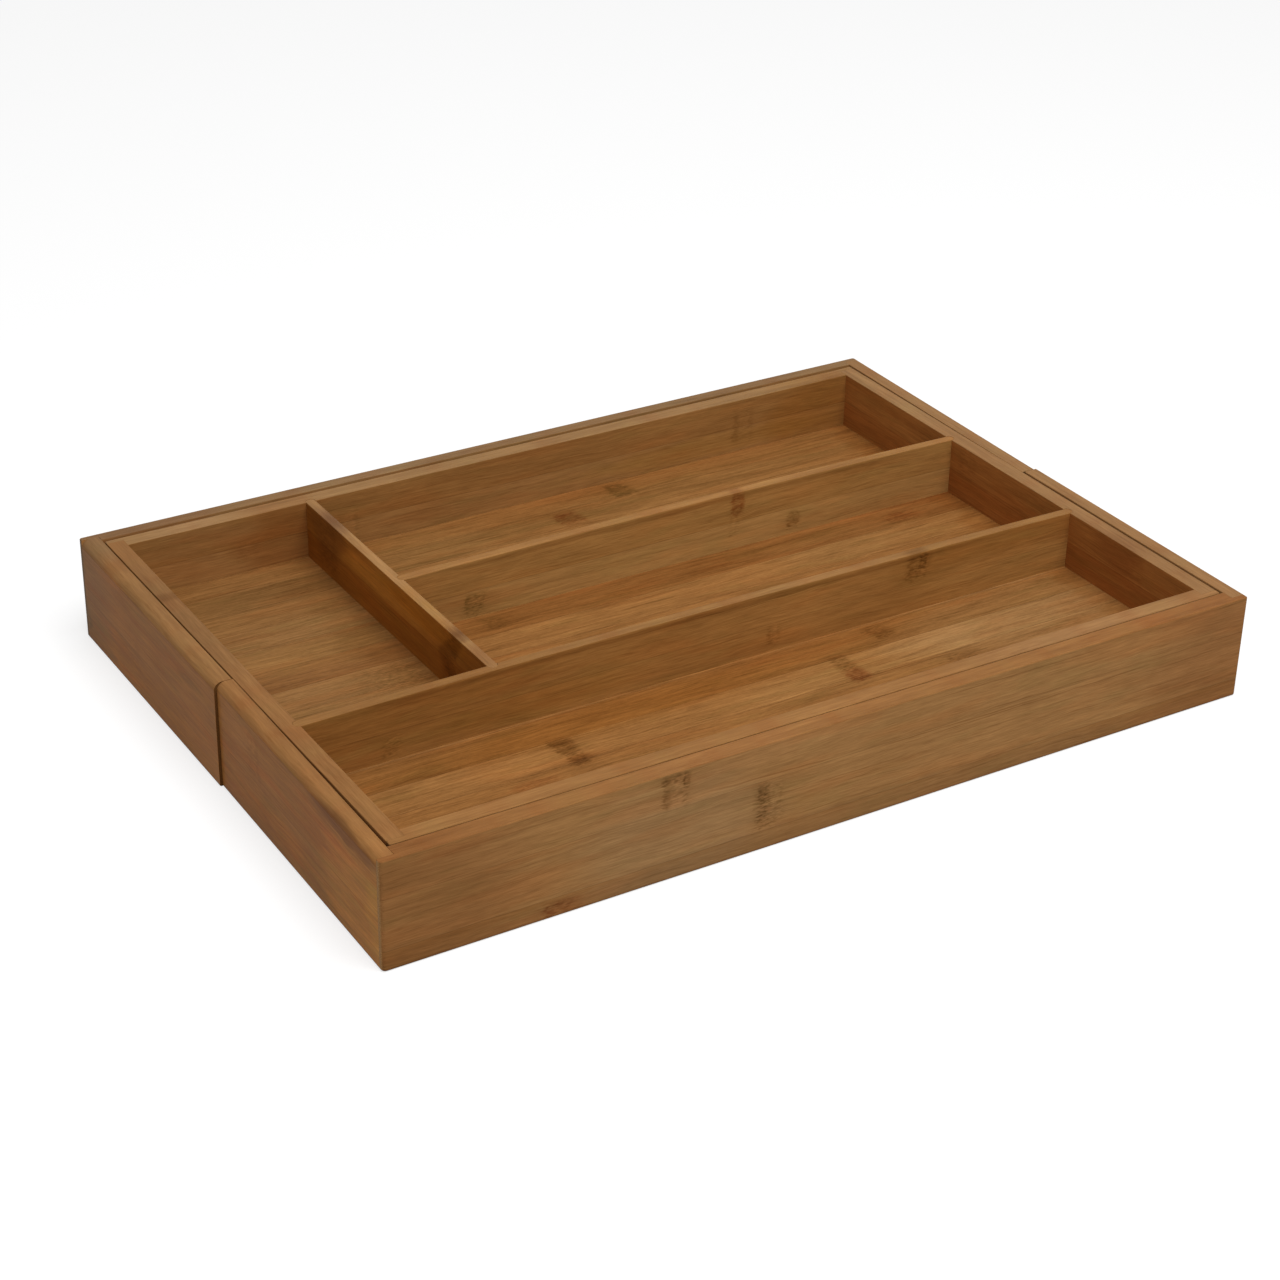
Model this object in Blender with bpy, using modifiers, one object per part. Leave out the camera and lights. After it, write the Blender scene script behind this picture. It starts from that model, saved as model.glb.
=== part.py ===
"""Extendable bamboo cutlery tray, closed: a middle tray between two U-shaped wings that slide out along Y.

Metres, +Z up. The origin is the middle of the closed tray's footprint, on the surface that it stands on.
X runs along the long sides, and the front is at -Y.
"""
from math import cos, pi, sin, sqrt

import bpy
import bmesh
from mathutils import Vector

MM = 0.001

# Overall size, closed
OVERALL_LENGTH = 450.0 * MM
OVERALL_DEPTH = 320.0 * MM
OVERALL_HEIGHT = 52.7 * MM

# Thickness of the boards
WING_BOARD = 8.0 * MM
WING_FLOOR_BOARD = 5.0 * MM
TRAY_BOARD = 8.0 * MM
TRAY_FLOOR_BOARD = 5.0 * MM
DIVIDER_BOARD = 5.0 * MM

# The wing floors' underside above the table, and the tray floor's underside above the foot of the tray's walls
WING_FLOOR_LIFT = 5.0 * MM
TRAY_FLOOR_LIFT = 7.6 * MM

# Clear width of the compartment at the left, which runs from front to back
LEFT_COMPARTMENT = 93.2 * MM

# Clearances: tray to wings at the sides and the ends, sliding faces, seam between the wings, glued joints
SIDE_CLEARANCE = 1.2 * MM
END_CLEARANCE = 1.3 * MM
SLIDE_GAP = 0.4 * MM
SEAM_GAP = 0.6 * MM
GLUE_GAP = 0.3 * MM

# The tray rests a little forward in the wings, so its gap is a hairline in front and wider behind
TRAY_REST_SHIFT = -0.4 * MM

# Joints: corner laps, and how deep boards are housed in their neighbours
CORNER_LAP = 3.0 * MM
FLOOR_HOUSING = 4.0 * MM
WALL_HOUSING = 2.5 * MM
DIVIDER_HOUSING = 1.5 * MM
HOUSING_SLACK = 0.5 * MM

# Guides on the tray's side walls, the grooves that they run in, and the stops that close the grooves
GUIDE_LENGTH = 30.0 * MM
GUIDE_HEIGHT = 5.4 * MM
GUIDE_SEAT = 2.5 * MM
GUIDE_GROOVE = 4.0 * MM
GUIDE_TIP_GAP = 0.5 * MM
STOP_LENGTH = 8.0 * MM

# Rounded edges: the upright corner at the front left and the other three, the top of the left returns and of
# the other boards, the foot, tray rim and dividers, and the facets of tops, of foot and corners, and of rims
FRONT_LEFT_ROUND = 1.8 * MM
CORNER_ROUND = 0.5 * MM
LEFT_RETURN_ROUND = 4.0 * MM
TOP_ROUND = 0.5 * MM
FOOT_ROUND = 0.4 * MM
RIM_ROUND = 0.4 * MM
DIVIDER_ROUND = 0.4 * MM
TOP_STEPS = 10
ROUND_STEPS = 5
RIM_STEPS = 3

# How far a cutter runs past the wood that it cuts, and the wood left on a board until its outside is rounded
OVERCUT = 5.0 * MM
STOCK = 1.0 * MM

# Half sizes of the closed tray, and of the space inside the wings
outer_x = OVERALL_LENGTH / 2
outer_y = OVERALL_DEPTH / 2
wing_x = outer_x - WING_BOARD
wing_y = outer_y - WING_BOARD

# Half sizes of the middle tray, outside and inside
tray_x = wing_x - SIDE_CLEARANCE
tray_y = wing_y - END_CLEARANCE
inner_x = tray_x - TRAY_BOARD
inner_y = tray_y - TRAY_BOARD

# Heights
wing_floor_top = WING_FLOOR_LIFT + WING_FLOOR_BOARD
tray_foot = wing_floor_top + SLIDE_GAP
tray_floor_low = tray_foot + TRAY_FLOOR_LIFT
tray_floor_top = tray_floor_low + TRAY_FLOOR_BOARD
guide_centre = (tray_foot + OVERALL_HEIGHT) / 2

# Three long compartments of equal depth, and the dividers between them
long_compartment = (2 * inner_y - 2 * DIVIDER_BOARD) / 3
front_divider_back = -long_compartment / 2
middle_divider_front = long_compartment / 2
cross_divider_left = -inner_x + LEFT_COMPARTMENT
cross_divider_right = cross_divider_left + DIVIDER_BOARD

# Where the side walls end inside the corner laps, measured from the middle
side_wall_end = tray_y - CORNER_LAP - GLUE_GAP
return_end = outer_y - CORNER_LAP - GLUE_GAP

BAMBOO_TONES = {
    "rim": (0.64, 0.45, 0.28),
    "floor": (0.60, 0.42, 0.25),
    "divider": (0.62, 0.44, 0.27),
    "wing": (0.58, 0.40, 0.24),
    "hidden": (0.66, 0.49, 0.32),
}
SATIN_ROUGHNESS = 0.45


def to_linear(channel):
    """One sRGB channel as the linear value that a shader takes."""
    return channel / 12.92 if channel <= 0.04045 else ((channel + 0.055) / 1.055) ** 2.4


def bamboo(name, tone):
    """A lacquered bamboo material of one tone for one piece."""
    material = bpy.data.materials.new(name)
    material.use_nodes = True
    shader = material.node_tree.nodes["Principled BSDF"]
    colour = [to_linear(channel) for channel in BAMBOO_TONES[tone]]
    shader.inputs["Base Color"].default_value = (*colour, 1.0)
    shader.inputs["Roughness"].default_value = SATIN_ROUGHNESS
    return material


def new_collection(name):
    """A collection linked to the scene."""
    collection = bpy.data.collections.new(name)
    bpy.context.scene.collection.children.link(collection)
    return collection


def new_frame(name, location=(0.0, 0.0, 0.0)):
    """An empty that carries the pieces of one moving group."""
    frame = bpy.data.objects.new(name, None)
    frame.location = location
    parts.objects.link(frame)
    return frame


def block(name, low, high, frame):
    """A box between two corners given in any order, its origin at its middle and its size in its mesh."""
    low, high = Vector(low), Vector(high)
    size = Vector(abs(a - b) for a, b in zip(low, high))
    mesh = bpy.data.meshes.new(name)
    form = bmesh.new()
    bmesh.ops.create_cube(form, size=1.0)
    bmesh.ops.scale(form, vec=size, verts=form.verts)
    form.to_mesh(mesh)
    form.free()
    piece = bpy.data.objects.new(name, mesh)
    piece.location = (low + high) / 2
    piece.parent = frame
    return piece


def board(name, low, high, frame, tone):
    """A board of the tray, with its own material."""
    piece = block(name, low, high, frame)
    parts.objects.link(piece)
    piece.data.materials.append(bamboo(name, tone))
    return piece


def as_cutter(body):
    """Keeps a body that only cuts or trims other pieces out of the part."""
    cutters.objects.link(body)
    body.hide_render = True
    body.display_type = "WIRE"
    return body


def cutter(name, low, high, frame=None):
    """A box that only cuts other pieces."""
    return as_cutter(block(name, low, high, frame))


def round_rim(piece, radius):
    """Eases the two long edges along a board's top."""
    longest = max(range(2), key=lambda axis: piece.dimensions[axis])
    form = bmesh.new()
    form.from_mesh(piece.data)
    weights = form.edges.layers.float.new("bevel_weight_edge")
    for edge in form.edges:
        first, second = (vert.co for vert in edge.verts)
        on_top = first.z > 0 and second.z > 0
        runs_along = first[longest] * second[longest] < 0
        edge[weights] = float(on_top and runs_along)
    form.to_mesh(piece.data)
    form.free()
    bevel = piece.modifiers.new("eased rim", "BEVEL")
    bevel.limit_method = "WEIGHT"
    bevel.width = radius
    bevel.segments = RIM_STEPS


def combine(piece, tool, operation):
    """Cuts a tool out of a piece, or trims the piece to it."""
    modifier = piece.modifiers.new(tool.name, "BOOLEAN")
    modifier.operation = operation
    modifier.object = tool


def cut(piece, *tools):
    """Cuts the tools out of a piece."""
    for tool in tools:
        combine(piece, tool, "DIFFERENCE")


def trim(piece, tool):
    """Keeps only what lies inside the tool."""
    combine(piece, tool, "INTERSECT")


def arc_depths(radius, steps):
    """How far the points along a rounded edge lie from the flat face, starting at the upright face."""
    return [radius * (1 - sin(step / steps * pi / 2)) for step in range(steps + 1)]


def arc_inset(radius, depth):
    """How far a rounded edge pulls the upright face in, at a depth from the flat face."""
    climb = max(radius - depth, 0.0)
    return radius - sqrt(radius ** 2 - climb ** 2)


def outline(left, right, half_y):
    """Corners of the footprint with its rounded corners, anticlockwise, between its left and right ends."""
    corners = []
    quadrants = ((right, -1, 1), (left, 1, 1), (left, 1, -1), (right, -1, -1))
    for quadrant, (end, inward, sign_y) in enumerate(quadrants):
        radius = FRONT_LEFT_ROUND if inward > 0 > sign_y else CORNER_ROUND
        for step in range(ROUND_STEPS + 1):
            angle = (quadrant + step / ROUND_STEPS) * pi / 2
            corners.append((
                end + inward * radius + radius * cos(angle),
                sign_y * (half_y - radius) + radius * sin(angle),
            ))
    return corners


def closed_outside(name, left_round):
    """The closed tray's outside as one body, whose left top edge has its own rounding."""
    levels = []
    for depth in reversed(arc_depths(FOOT_ROUND, ROUND_STEPS)):
        inset = arc_inset(FOOT_ROUND, depth)
        levels.append((depth, inset, inset, inset))
    for depth in arc_depths(max(left_round, TOP_ROUND), TOP_STEPS):
        inset = arc_inset(TOP_ROUND, depth)
        levels.append((OVERALL_HEIGHT - depth, arc_inset(left_round, depth), inset, inset))
    form = bmesh.new()
    rings = []
    for height, inset_left, inset_right, inset_y in levels:
        corners = outline(inset_left - outer_x, outer_x - inset_right, outer_y - inset_y)
        rings.append([form.verts.new((x, y, height)) for x, y in corners])
    form.faces.new(reversed(rings[0]))
    for lower, upper in zip(rings, rings[1:]):
        for index, corner in enumerate(lower):
            form.faces.new((lower[index - 1], corner, upper[index], upper[index - 1]))
    form.faces.new(rings[-1])
    mesh = bpy.data.meshes.new(name)
    form.to_mesh(mesh)
    form.free()
    body = bpy.data.objects.new(name, mesh)
    return as_cutter(body)


def tray_walls(frame):
    """The four walls of the middle tray: the long ones lap over the ends of the short ones."""
    floor_slot = cutter(
        "tray_floor_slot",
        (-inner_x - FLOOR_HOUSING, -inner_y - FLOOR_HOUSING, tray_floor_low - GLUE_GAP),
        (inner_x + FLOOR_HOUSING, inner_y + FLOOR_HOUSING, tray_floor_top + GLUE_GAP),
        frame,
    )
    rooms = []
    sides = {}
    for side, sign in (("left", -1), ("right", 1)):
        room = cutter(
            f"tray_{side}_wall_room",
            (sign * (inner_x - GLUE_GAP), -tray_y + CORNER_LAP, tray_foot - OVERCUT),
            (sign * (tray_x + OVERCUT), tray_y - CORNER_LAP, OVERALL_HEIGHT + OVERCUT),
            frame,
        )
        rooms.append(room)
        wall = board(
            f"tray_{side}_wall",
            (sign * inner_x, -side_wall_end, tray_foot),
            (sign * tray_x, side_wall_end, OVERALL_HEIGHT),
            frame, "rim",
        )
        round_rim(wall, RIM_ROUND)
        cut(wall, floor_slot)
        sides[side] = wall
    ends = {}
    for end, sign in (("front", -1), ("back", 1)):
        wall = board(
            f"tray_{end}_wall",
            (-tray_x, sign * inner_y, tray_foot),
            (tray_x, sign * tray_y, OVERALL_HEIGHT),
            frame, "rim",
        )
        round_rim(wall, RIM_ROUND)
        cut(wall, *rooms, floor_slot)
        ends[end] = wall
    return sides, ends


def tray_floor(frame):
    """The tray's floor, housed in the walls all round."""
    reach = FLOOR_HOUSING - HOUSING_SLACK
    board(
        "tray_floor",
        (-inner_x - reach, -inner_y - reach, tray_floor_low),
        (inner_x + reach, inner_y + reach, tray_floor_top),
        frame, "floor",
    )


def divider_slot(name, low, high, frame):
    """The room that a divider's ends take in the boards that house it, open at the top."""
    low, high = Vector(low), Vector(high)
    across = min(range(2), key=lambda axis: abs(high[axis] - low[axis]))
    low[across] -= GLUE_GAP
    high[across] += GLUE_GAP
    low.z = tray_floor_top
    high.z = OVERALL_HEIGHT + OVERCUT
    return cutter(name, low, high, frame)


def divider(name, low, high, frame):
    """A thin board between two compartments, its ends short of their housings by the glue gap."""
    low, high = Vector(low), Vector(high)
    along = max(range(2), key=lambda axis: abs(high[axis] - low[axis]))
    low[along] += GLUE_GAP
    high[along] -= GLUE_GAP
    low.z = tray_floor_top + GLUE_GAP
    high.z = OVERALL_HEIGHT
    piece = board(name, low, high, frame, "divider")
    round_rim(piece, DIVIDER_ROUND)
    return piece


def dividers(frame, sides, ends):
    """The three dividers, each housed at both ends in the walls or in another divider."""
    front_low = (-inner_x - WALL_HOUSING, front_divider_back - DIVIDER_BOARD, 0)
    front_high = (inner_x + WALL_HOUSING, front_divider_back, 0)
    cross_low = (cross_divider_left, front_divider_back - DIVIDER_HOUSING, 0)
    cross_high = (cross_divider_right, inner_y + WALL_HOUSING, 0)
    middle_low = (cross_divider_right - DIVIDER_HOUSING, middle_divider_front, 0)
    middle_high = (inner_x + WALL_HOUSING, middle_divider_front + DIVIDER_BOARD, 0)
    front_slot = divider_slot("front_divider_slot", front_low, front_high, frame)
    cross_slot = divider_slot("cross_divider_slot", cross_low, cross_high, frame)
    middle_slot = divider_slot("middle_divider_slot", middle_low, middle_high, frame)
    front = divider("front_divider", front_low, front_high, frame)
    cross = divider("cross_divider", cross_low, cross_high, frame)
    divider("middle_divider", middle_low, middle_high, frame)
    cut(sides["left"], front_slot)
    cut(sides["right"], front_slot, middle_slot)
    cut(ends["back"], cross_slot)
    cut(front, cross_slot)
    cut(cross, middle_slot)


def guides(frame, sides):
    """Four tongues, glued into seats near the ends of the side walls' outer faces."""
    tip = tray_x + SIDE_CLEARANCE + GUIDE_GROOVE - GUIDE_TIP_GAP
    inner_end = side_wall_end - GUIDE_LENGTH
    for end, forward in (("front", -1), ("rear", 1)):
        for side, outward in (("left", -1), ("right", 1)):
            seat = cutter(
                f"{end}_{side}_guide_seat",
                (outward * (tray_x - GUIDE_SEAT), forward * (inner_end - GLUE_GAP),
                 guide_centre - GUIDE_HEIGHT / 2 - GLUE_GAP),
                (outward * (tray_x + OVERCUT), forward * (side_wall_end + OVERCUT),
                 guide_centre + GUIDE_HEIGHT / 2 + GLUE_GAP),
                frame,
            )
            cut(sides[side], seat)
            board(
                f"{end}_{side}_guide",
                (outward * (tray_x - GUIDE_SEAT + GLUE_GAP), forward * inner_end,
                 guide_centre - GUIDE_HEIGHT / 2),
                (outward * tip, forward * side_wall_end, guide_centre + GUIDE_HEIGHT / 2),
                frame, "hidden",
            )


def wing_cutters():
    """What is cut from both wings: room for the returns in the long walls, the floor's slot, guide grooves."""
    rooms = []
    grooves = {}
    for side, sign in (("left", -1), ("right", 1)):
        rooms.append(cutter(
            f"{side}_return_room",
            (sign * (wing_x - GLUE_GAP), -outer_y + CORNER_LAP, -OVERCUT),
            (sign * (outer_x + OVERCUT), outer_y - CORNER_LAP, OVERALL_HEIGHT + OVERCUT),
        ))
        half_height = GUIDE_HEIGHT / 2 + SLIDE_GAP
        grooves[side] = cutter(
            f"{side}_guide_groove",
            (sign * (wing_x - OVERCUT), -wing_y, guide_centre - half_height),
            (sign * (wing_x + GUIDE_GROOVE), wing_y, guide_centre + half_height),
        )
    floor_slot = cutter(
        "wing_floor_slot",
        (-wing_x - FLOOR_HOUSING, -wing_y - FLOOR_HOUSING, WING_FLOOR_LIFT - GLUE_GAP),
        (wing_x + FLOOR_HOUSING, wing_y + FLOOR_HOUSING, wing_floor_top + GLUE_GAP),
    )
    return rooms, grooves, floor_slot


def wing(name, forward, tools, wall_outside, return_outside):
    """A U-shaped wing: long wall, two returns, floor and two stops. forward is -1 in front and 1 behind."""
    frame = new_frame(f"{name}_frame")
    rooms, grooves, floor_slot = tools
    long_wall = board(
        f"{name}_wall",
        (-outer_x - STOCK, forward * wing_y, -STOCK),
        (outer_x + STOCK, forward * (outer_y + STOCK), OVERALL_HEIGHT + STOCK),
        frame, "wing",
    )
    trim(long_wall, wall_outside)
    cut(long_wall, *rooms, floor_slot)
    for side, outward in (("left", -1), ("right", 1)):
        arm = board(
            f"{name}_{side}_return",
            (outward * wing_x, forward * SEAM_GAP / 2, -STOCK),
            (outward * (outer_x + STOCK), forward * return_end, OVERALL_HEIGHT + STOCK),
            frame, "wing",
        )
        trim(arm, return_outside)
        cut(arm, grooves[side], floor_slot)
        half_height = GUIDE_HEIGHT / 2 + SLIDE_GAP - GLUE_GAP
        board(
            f"{name}_{side}_stop",
            (outward * wing_x, forward * SEAM_GAP / 2, guide_centre - half_height),
            (outward * (wing_x + GUIDE_GROOVE - GLUE_GAP), forward * (SEAM_GAP / 2 + STOP_LENGTH),
             guide_centre + half_height),
            frame, "hidden",
        )
    reach = FLOOR_HOUSING - HOUSING_SLACK
    board(
        f"{name}_floor",
        (-wing_x - reach, forward * SEAM_GAP / 2, WING_FLOOR_LIFT),
        (wing_x + reach, forward * (wing_y + reach), wing_floor_top),
        frame, "floor",
    )


def clear_scene():
    """Starts from an empty scene."""
    for item in list(bpy.data.objects):
        bpy.data.objects.remove(item, do_unlink=True)


clear_scene()
parts = new_collection("extendable_cutlery_tray")
cutters = new_collection("cutters")

tray_frame = new_frame("tray_frame", (0.0, TRAY_REST_SHIFT, 0.0))
side_walls, end_walls = tray_walls(tray_frame)
tray_floor(tray_frame)
dividers(tray_frame, side_walls, end_walls)
guides(tray_frame, side_walls)

walls_body = closed_outside("walls_outside", TOP_ROUND)
returns_body = closed_outside("returns_outside", LEFT_RETURN_ROUND)
shared_tools = wing_cutters()
wing("front_wing", -1, shared_tools, walls_body, returns_body)
wing("rear_wing", 1, shared_tools, walls_body, returns_body)
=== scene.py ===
"""Extendable bamboo cutlery tray, closed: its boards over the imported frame, their finishes, and the studio.

Sizes and places in the classes are in millimetres, in the frame's own axes: X along the long sides, the
front at -Y, +Z up. The workbench turns them into metres.
"""

import logging
import math
from collections.abc import Callable, Iterator
from contextlib import contextmanager
from dataclasses import dataclass, field
from enum import Enum

import bmesh
import bpy
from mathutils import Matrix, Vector


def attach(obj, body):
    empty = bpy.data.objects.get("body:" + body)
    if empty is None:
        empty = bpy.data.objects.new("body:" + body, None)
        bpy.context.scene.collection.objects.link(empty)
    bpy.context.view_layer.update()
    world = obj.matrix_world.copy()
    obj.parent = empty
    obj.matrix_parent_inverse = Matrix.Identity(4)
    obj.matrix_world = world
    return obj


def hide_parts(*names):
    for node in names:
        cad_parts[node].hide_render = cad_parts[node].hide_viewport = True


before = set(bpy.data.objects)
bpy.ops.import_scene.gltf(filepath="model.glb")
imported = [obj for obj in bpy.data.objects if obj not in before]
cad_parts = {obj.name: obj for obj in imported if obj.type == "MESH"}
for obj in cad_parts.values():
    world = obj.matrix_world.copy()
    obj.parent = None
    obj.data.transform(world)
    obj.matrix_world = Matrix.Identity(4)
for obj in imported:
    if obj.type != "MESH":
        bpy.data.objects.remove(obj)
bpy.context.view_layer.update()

# A millimetre in metres, and how near counts as the same place, in millimetres
MM = 0.001
NEAR = 0.05

# From which part of its direction an edge runs along an axis, and up to which upward part an edge or a
# normal is level
ALONG = 0.9
LEVEL = 0.5

# The tolerance of a cut in metres, the distance in millimetres at which points are welded, and the angle up
# to which faces are shaded as one surface
CUT_TOLERANCE = 1e-6
WELD = 0.001
SMOOTH_DEGREES = 32

log = logging.getLogger("cutlery_tray")

Place = tuple[float, float, float]
Colour = tuple[float, float, float]
Wanted = Callable[[Vector, Vector], bool]


class Element(Enum):
    """What is selected in edit mode, and the name of its list in a mesh."""

    VERT = "verts"
    EDGE = "edges"
    FACE = "faces"


class Bench:
    """The workbench: shapes boards with Blender's tools. Places, sizes and radii are in millimetres."""

    def only(self, piece: bpy.types.Object) -> None:
        """Makes one object the only selected one, and the active one.

        Args:
            piece: The object to work on.
        """
        bpy.ops.object.select_all(action="DESELECT")
        piece.select_set(True)
        bpy.context.view_layer.objects.active = piece

    @contextmanager
    def editing(self, piece: bpy.types.Object, kind: Element) -> Iterator[None]:
        """Opens a piece in edit mode for as long as the block runs.

        Args:
            piece: The object to edit.
            kind: What the selection is made of.
        """
        self.only(piece)
        bpy.ops.object.mode_set(mode="EDIT")
        bpy.ops.mesh.select_mode(type=kind.name)
        bpy.ops.mesh.select_all(action="SELECT")
        yield
        bpy.ops.object.mode_set(mode="OBJECT")

    def pick(self, piece: bpy.types.Object, kind: Element, wanted: Wanted) -> None:
        """Selects by place and direction, and deselects the rest.

        Args:
            piece: The object in edit mode.
            kind: What to select.
            wanted: Takes the middle in millimetres, and a face's or vertex's normal or an edge's unsigned
                direction.
        """
        bpy.ops.mesh.select_all(action="DESELECT")
        form = bmesh.from_edit_mesh(piece.data)
        for item in getattr(form, kind.value):
            if kind is Element.VERT:
                middle, way = item.co, item.normal
            elif kind is Element.EDGE:
                first, second = (vert.co for vert in item.verts)
                middle = (first + second) / 2
                way = Vector(abs(part) for part in (second - first).normalized())
            else:
                middle, way = item.calc_center_median(), item.normal
            if wanted(middle / MM, way):
                item.select_set(True)
        bmesh.update_edit_mesh(piece.data)

    def block(self, name: str, low: Place, high: Place) -> bpy.types.Object:
        """A box to start a board from.

        Args:
            name: The object's name.
            low: One corner.
            high: The opposite corner, in any order.

        Returns:
            The box, its place and size in its mesh.
        """
        first, second = Vector(low) * MM, Vector(high) * MM
        bpy.ops.object.select_all(action="DESELECT")
        bpy.ops.mesh.primitive_cube_add(size=1.0, location=(first + second) / 2)
        piece = bpy.context.object
        piece.name = name
        piece.data.name = name
        piece.scale = [abs(part) for part in second - first]
        bpy.ops.object.transform_apply(location=True, rotation=True, scale=True)
        return piece

    def copy(self, piece: bpy.types.Object, name: str) -> bpy.types.Object:
        """A copy of a piece with its own mesh.

        Args:
            piece: The object to copy.
            name: The copy's name.

        Returns:
            The copy.
        """
        self.only(piece)
        bpy.ops.object.duplicate()
        twin = bpy.context.object
        twin.name = name
        twin.data.name = name
        return twin

    def scrap(self, piece: bpy.types.Object) -> None:
        """Throws an object and its mesh away.

        Args:
            piece: The object.
        """
        mesh = piece.data
        bpy.data.objects.remove(piece, do_unlink=True)
        bpy.data.meshes.remove(mesh)

    def score(self, piece: bpy.types.Object, points: list[Place], way: Place) -> None:
        """Cuts new edges round a piece without parting it.

        Args:
            piece: The object to score.
            points: One point on each plane.
            way: The planes' normal.
        """
        with self.editing(piece, Element.FACE):
            for point in points:
                bpy.ops.mesh.select_all(action="SELECT")
                bpy.ops.mesh.bisect(plane_co=Vector(point) * MM, plane_no=way, threshold=CUT_TOLERANCE)

    def saw(self, piece: bpy.types.Object, point: Place, way: Place) -> None:
        """Saws off what lies beyond a plane and closes the cut.

        Args:
            piece: The object to saw.
            point: A point on the plane.
            way: The plane's normal, which points at the part that falls off.
        """
        with self.editing(piece, Element.FACE):
            bpy.ops.mesh.bisect(
                plane_co=Vector(point) * MM,
                plane_no=way,
                use_fill=True,
                clear_outer=True,
                threshold=CUT_TOLERANCE,
            )

    def round_over(self, piece: bpy.types.Object, radius: float, segments: int, wanted: Wanted) -> None:
        """Rounds the edges that are wanted.

        Args:
            piece: The object to round.
            radius: The radius of the rounding.
            segments: Its number of facets.
            wanted: Chooses the edges, as pick does.
        """
        with self.editing(piece, Element.EDGE):
            self.pick(piece, Element.EDGE, wanted)
            bpy.ops.mesh.bevel(offset=radius * MM, segments=segments, profile=0.5, affect="EDGES")

    def carve(self, piece: bpy.types.Object, tool: bpy.types.Object) -> None:
        """Cuts a tool's form out of a piece and throws the tool away.

        Args:
            piece: The object to cut.
            tool: The form to cut out.
        """
        self.only(piece)
        bpy.ops.object.modifier_add(type="BOOLEAN")
        modifier = piece.modifiers[-1]
        modifier.operation = "DIFFERENCE"
        modifier.solver = "EXACT"
        modifier.object = tool
        bpy.ops.object.modifier_apply(modifier=modifier.name)
        self.scrap(tool)

    def carve_box(self, piece: bpy.types.Object, low: Place, high: Place) -> None:
        """Cuts the box between two opposite corners out of a piece."""
        self.carve(piece, self.block("tool", low, high))

    def turn(self, piece: bpy.types.Object, radians: float, centre: Place) -> None:
        """Turns a piece's mesh about an upright line, anticlockwise seen from above.

        Args:
            piece: The object to turn.
            radians: The angle.
            centre: A point on the line.
        """
        pivot = Vector(centre) * MM
        with self.editing(piece, Element.VERT):
            bpy.ops.transform.rotate(value=-radians, orient_axis="Z", center_override=pivot)

    def polish(self, piece: bpy.types.Object) -> None:
        """Smooths the shading of a finished board and keeps its flat faces flat.

        Args:
            piece: The board.
        """
        with self.editing(piece, Element.FACE):
            bpy.ops.mesh.remove_doubles(threshold=WELD * MM)
            bpy.ops.mesh.normals_make_consistent(inside=False)
        self.only(piece)
        bpy.ops.object.shade_smooth_by_angle(angle=math.radians(SMOOTH_DEGREES))
        bpy.ops.object.modifier_add(type="WEIGHTED_NORMAL")
        modifier = piece.modifiers[-1]
        modifier.keep_sharp = True
        bpy.ops.object.modifier_apply(modifier=modifier.name)


bench = Bench()


class Signal:
    """A number in a shader tree. Arithmetic on it adds Math nodes."""

    def __init__(self, tree: "ShaderTree", socket: bpy.types.NodeSocket) -> None:
        """Keeps the tree and the socket that the number comes from."""
        self.tree = tree
        self.socket = socket

    def __add__(self, other: "Signal | float") -> "Signal":
        """self + other."""
        return self.tree.maths("ADD", self, other)

    __radd__ = __add__

    def __sub__(self, other: "Signal | float") -> "Signal":
        """self - other."""
        return self.tree.maths("SUBTRACT", self, other)

    def __rsub__(self, other: "Signal | float") -> "Signal":
        """other - self."""
        return self.tree.maths("SUBTRACT", other, self)

    def __mul__(self, other: "Signal | float") -> "Signal":
        """self * other."""
        return self.tree.maths("MULTIPLY", self, other)

    __rmul__ = __mul__

    def __truediv__(self, other: "Signal | float") -> "Signal":
        """self / other."""
        return self.tree.maths("DIVIDE", self, other)

    def __abs__(self) -> "Signal":
        """The size without its sign."""
        return self.tree.maths("ABSOLUTE", self)

    def whole(self) -> "Signal":
        """The whole number below."""
        return self.tree.maths("FLOOR", self)

    def or_more(self, other: "Signal | float") -> "Signal":
        """The larger of two."""
        return self.tree.maths("MAXIMUM", self, other)

    def rise(self, start: float, end: float) -> "Signal":
        """0 below start, 1 above end, which lies higher, and smooth between."""
        inputs = {"Value": self, "From Min": start, "From Max": end}
        return self.tree.smooth_step(inputs)

    def fall(self, start: float, end: float) -> "Signal":
        """1 below start and 0 above end."""
        return 1.0 - self.rise(start, end)


# What an input of a node takes
Source = Signal | bpy.types.NodeSocket | float | Colour


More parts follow.
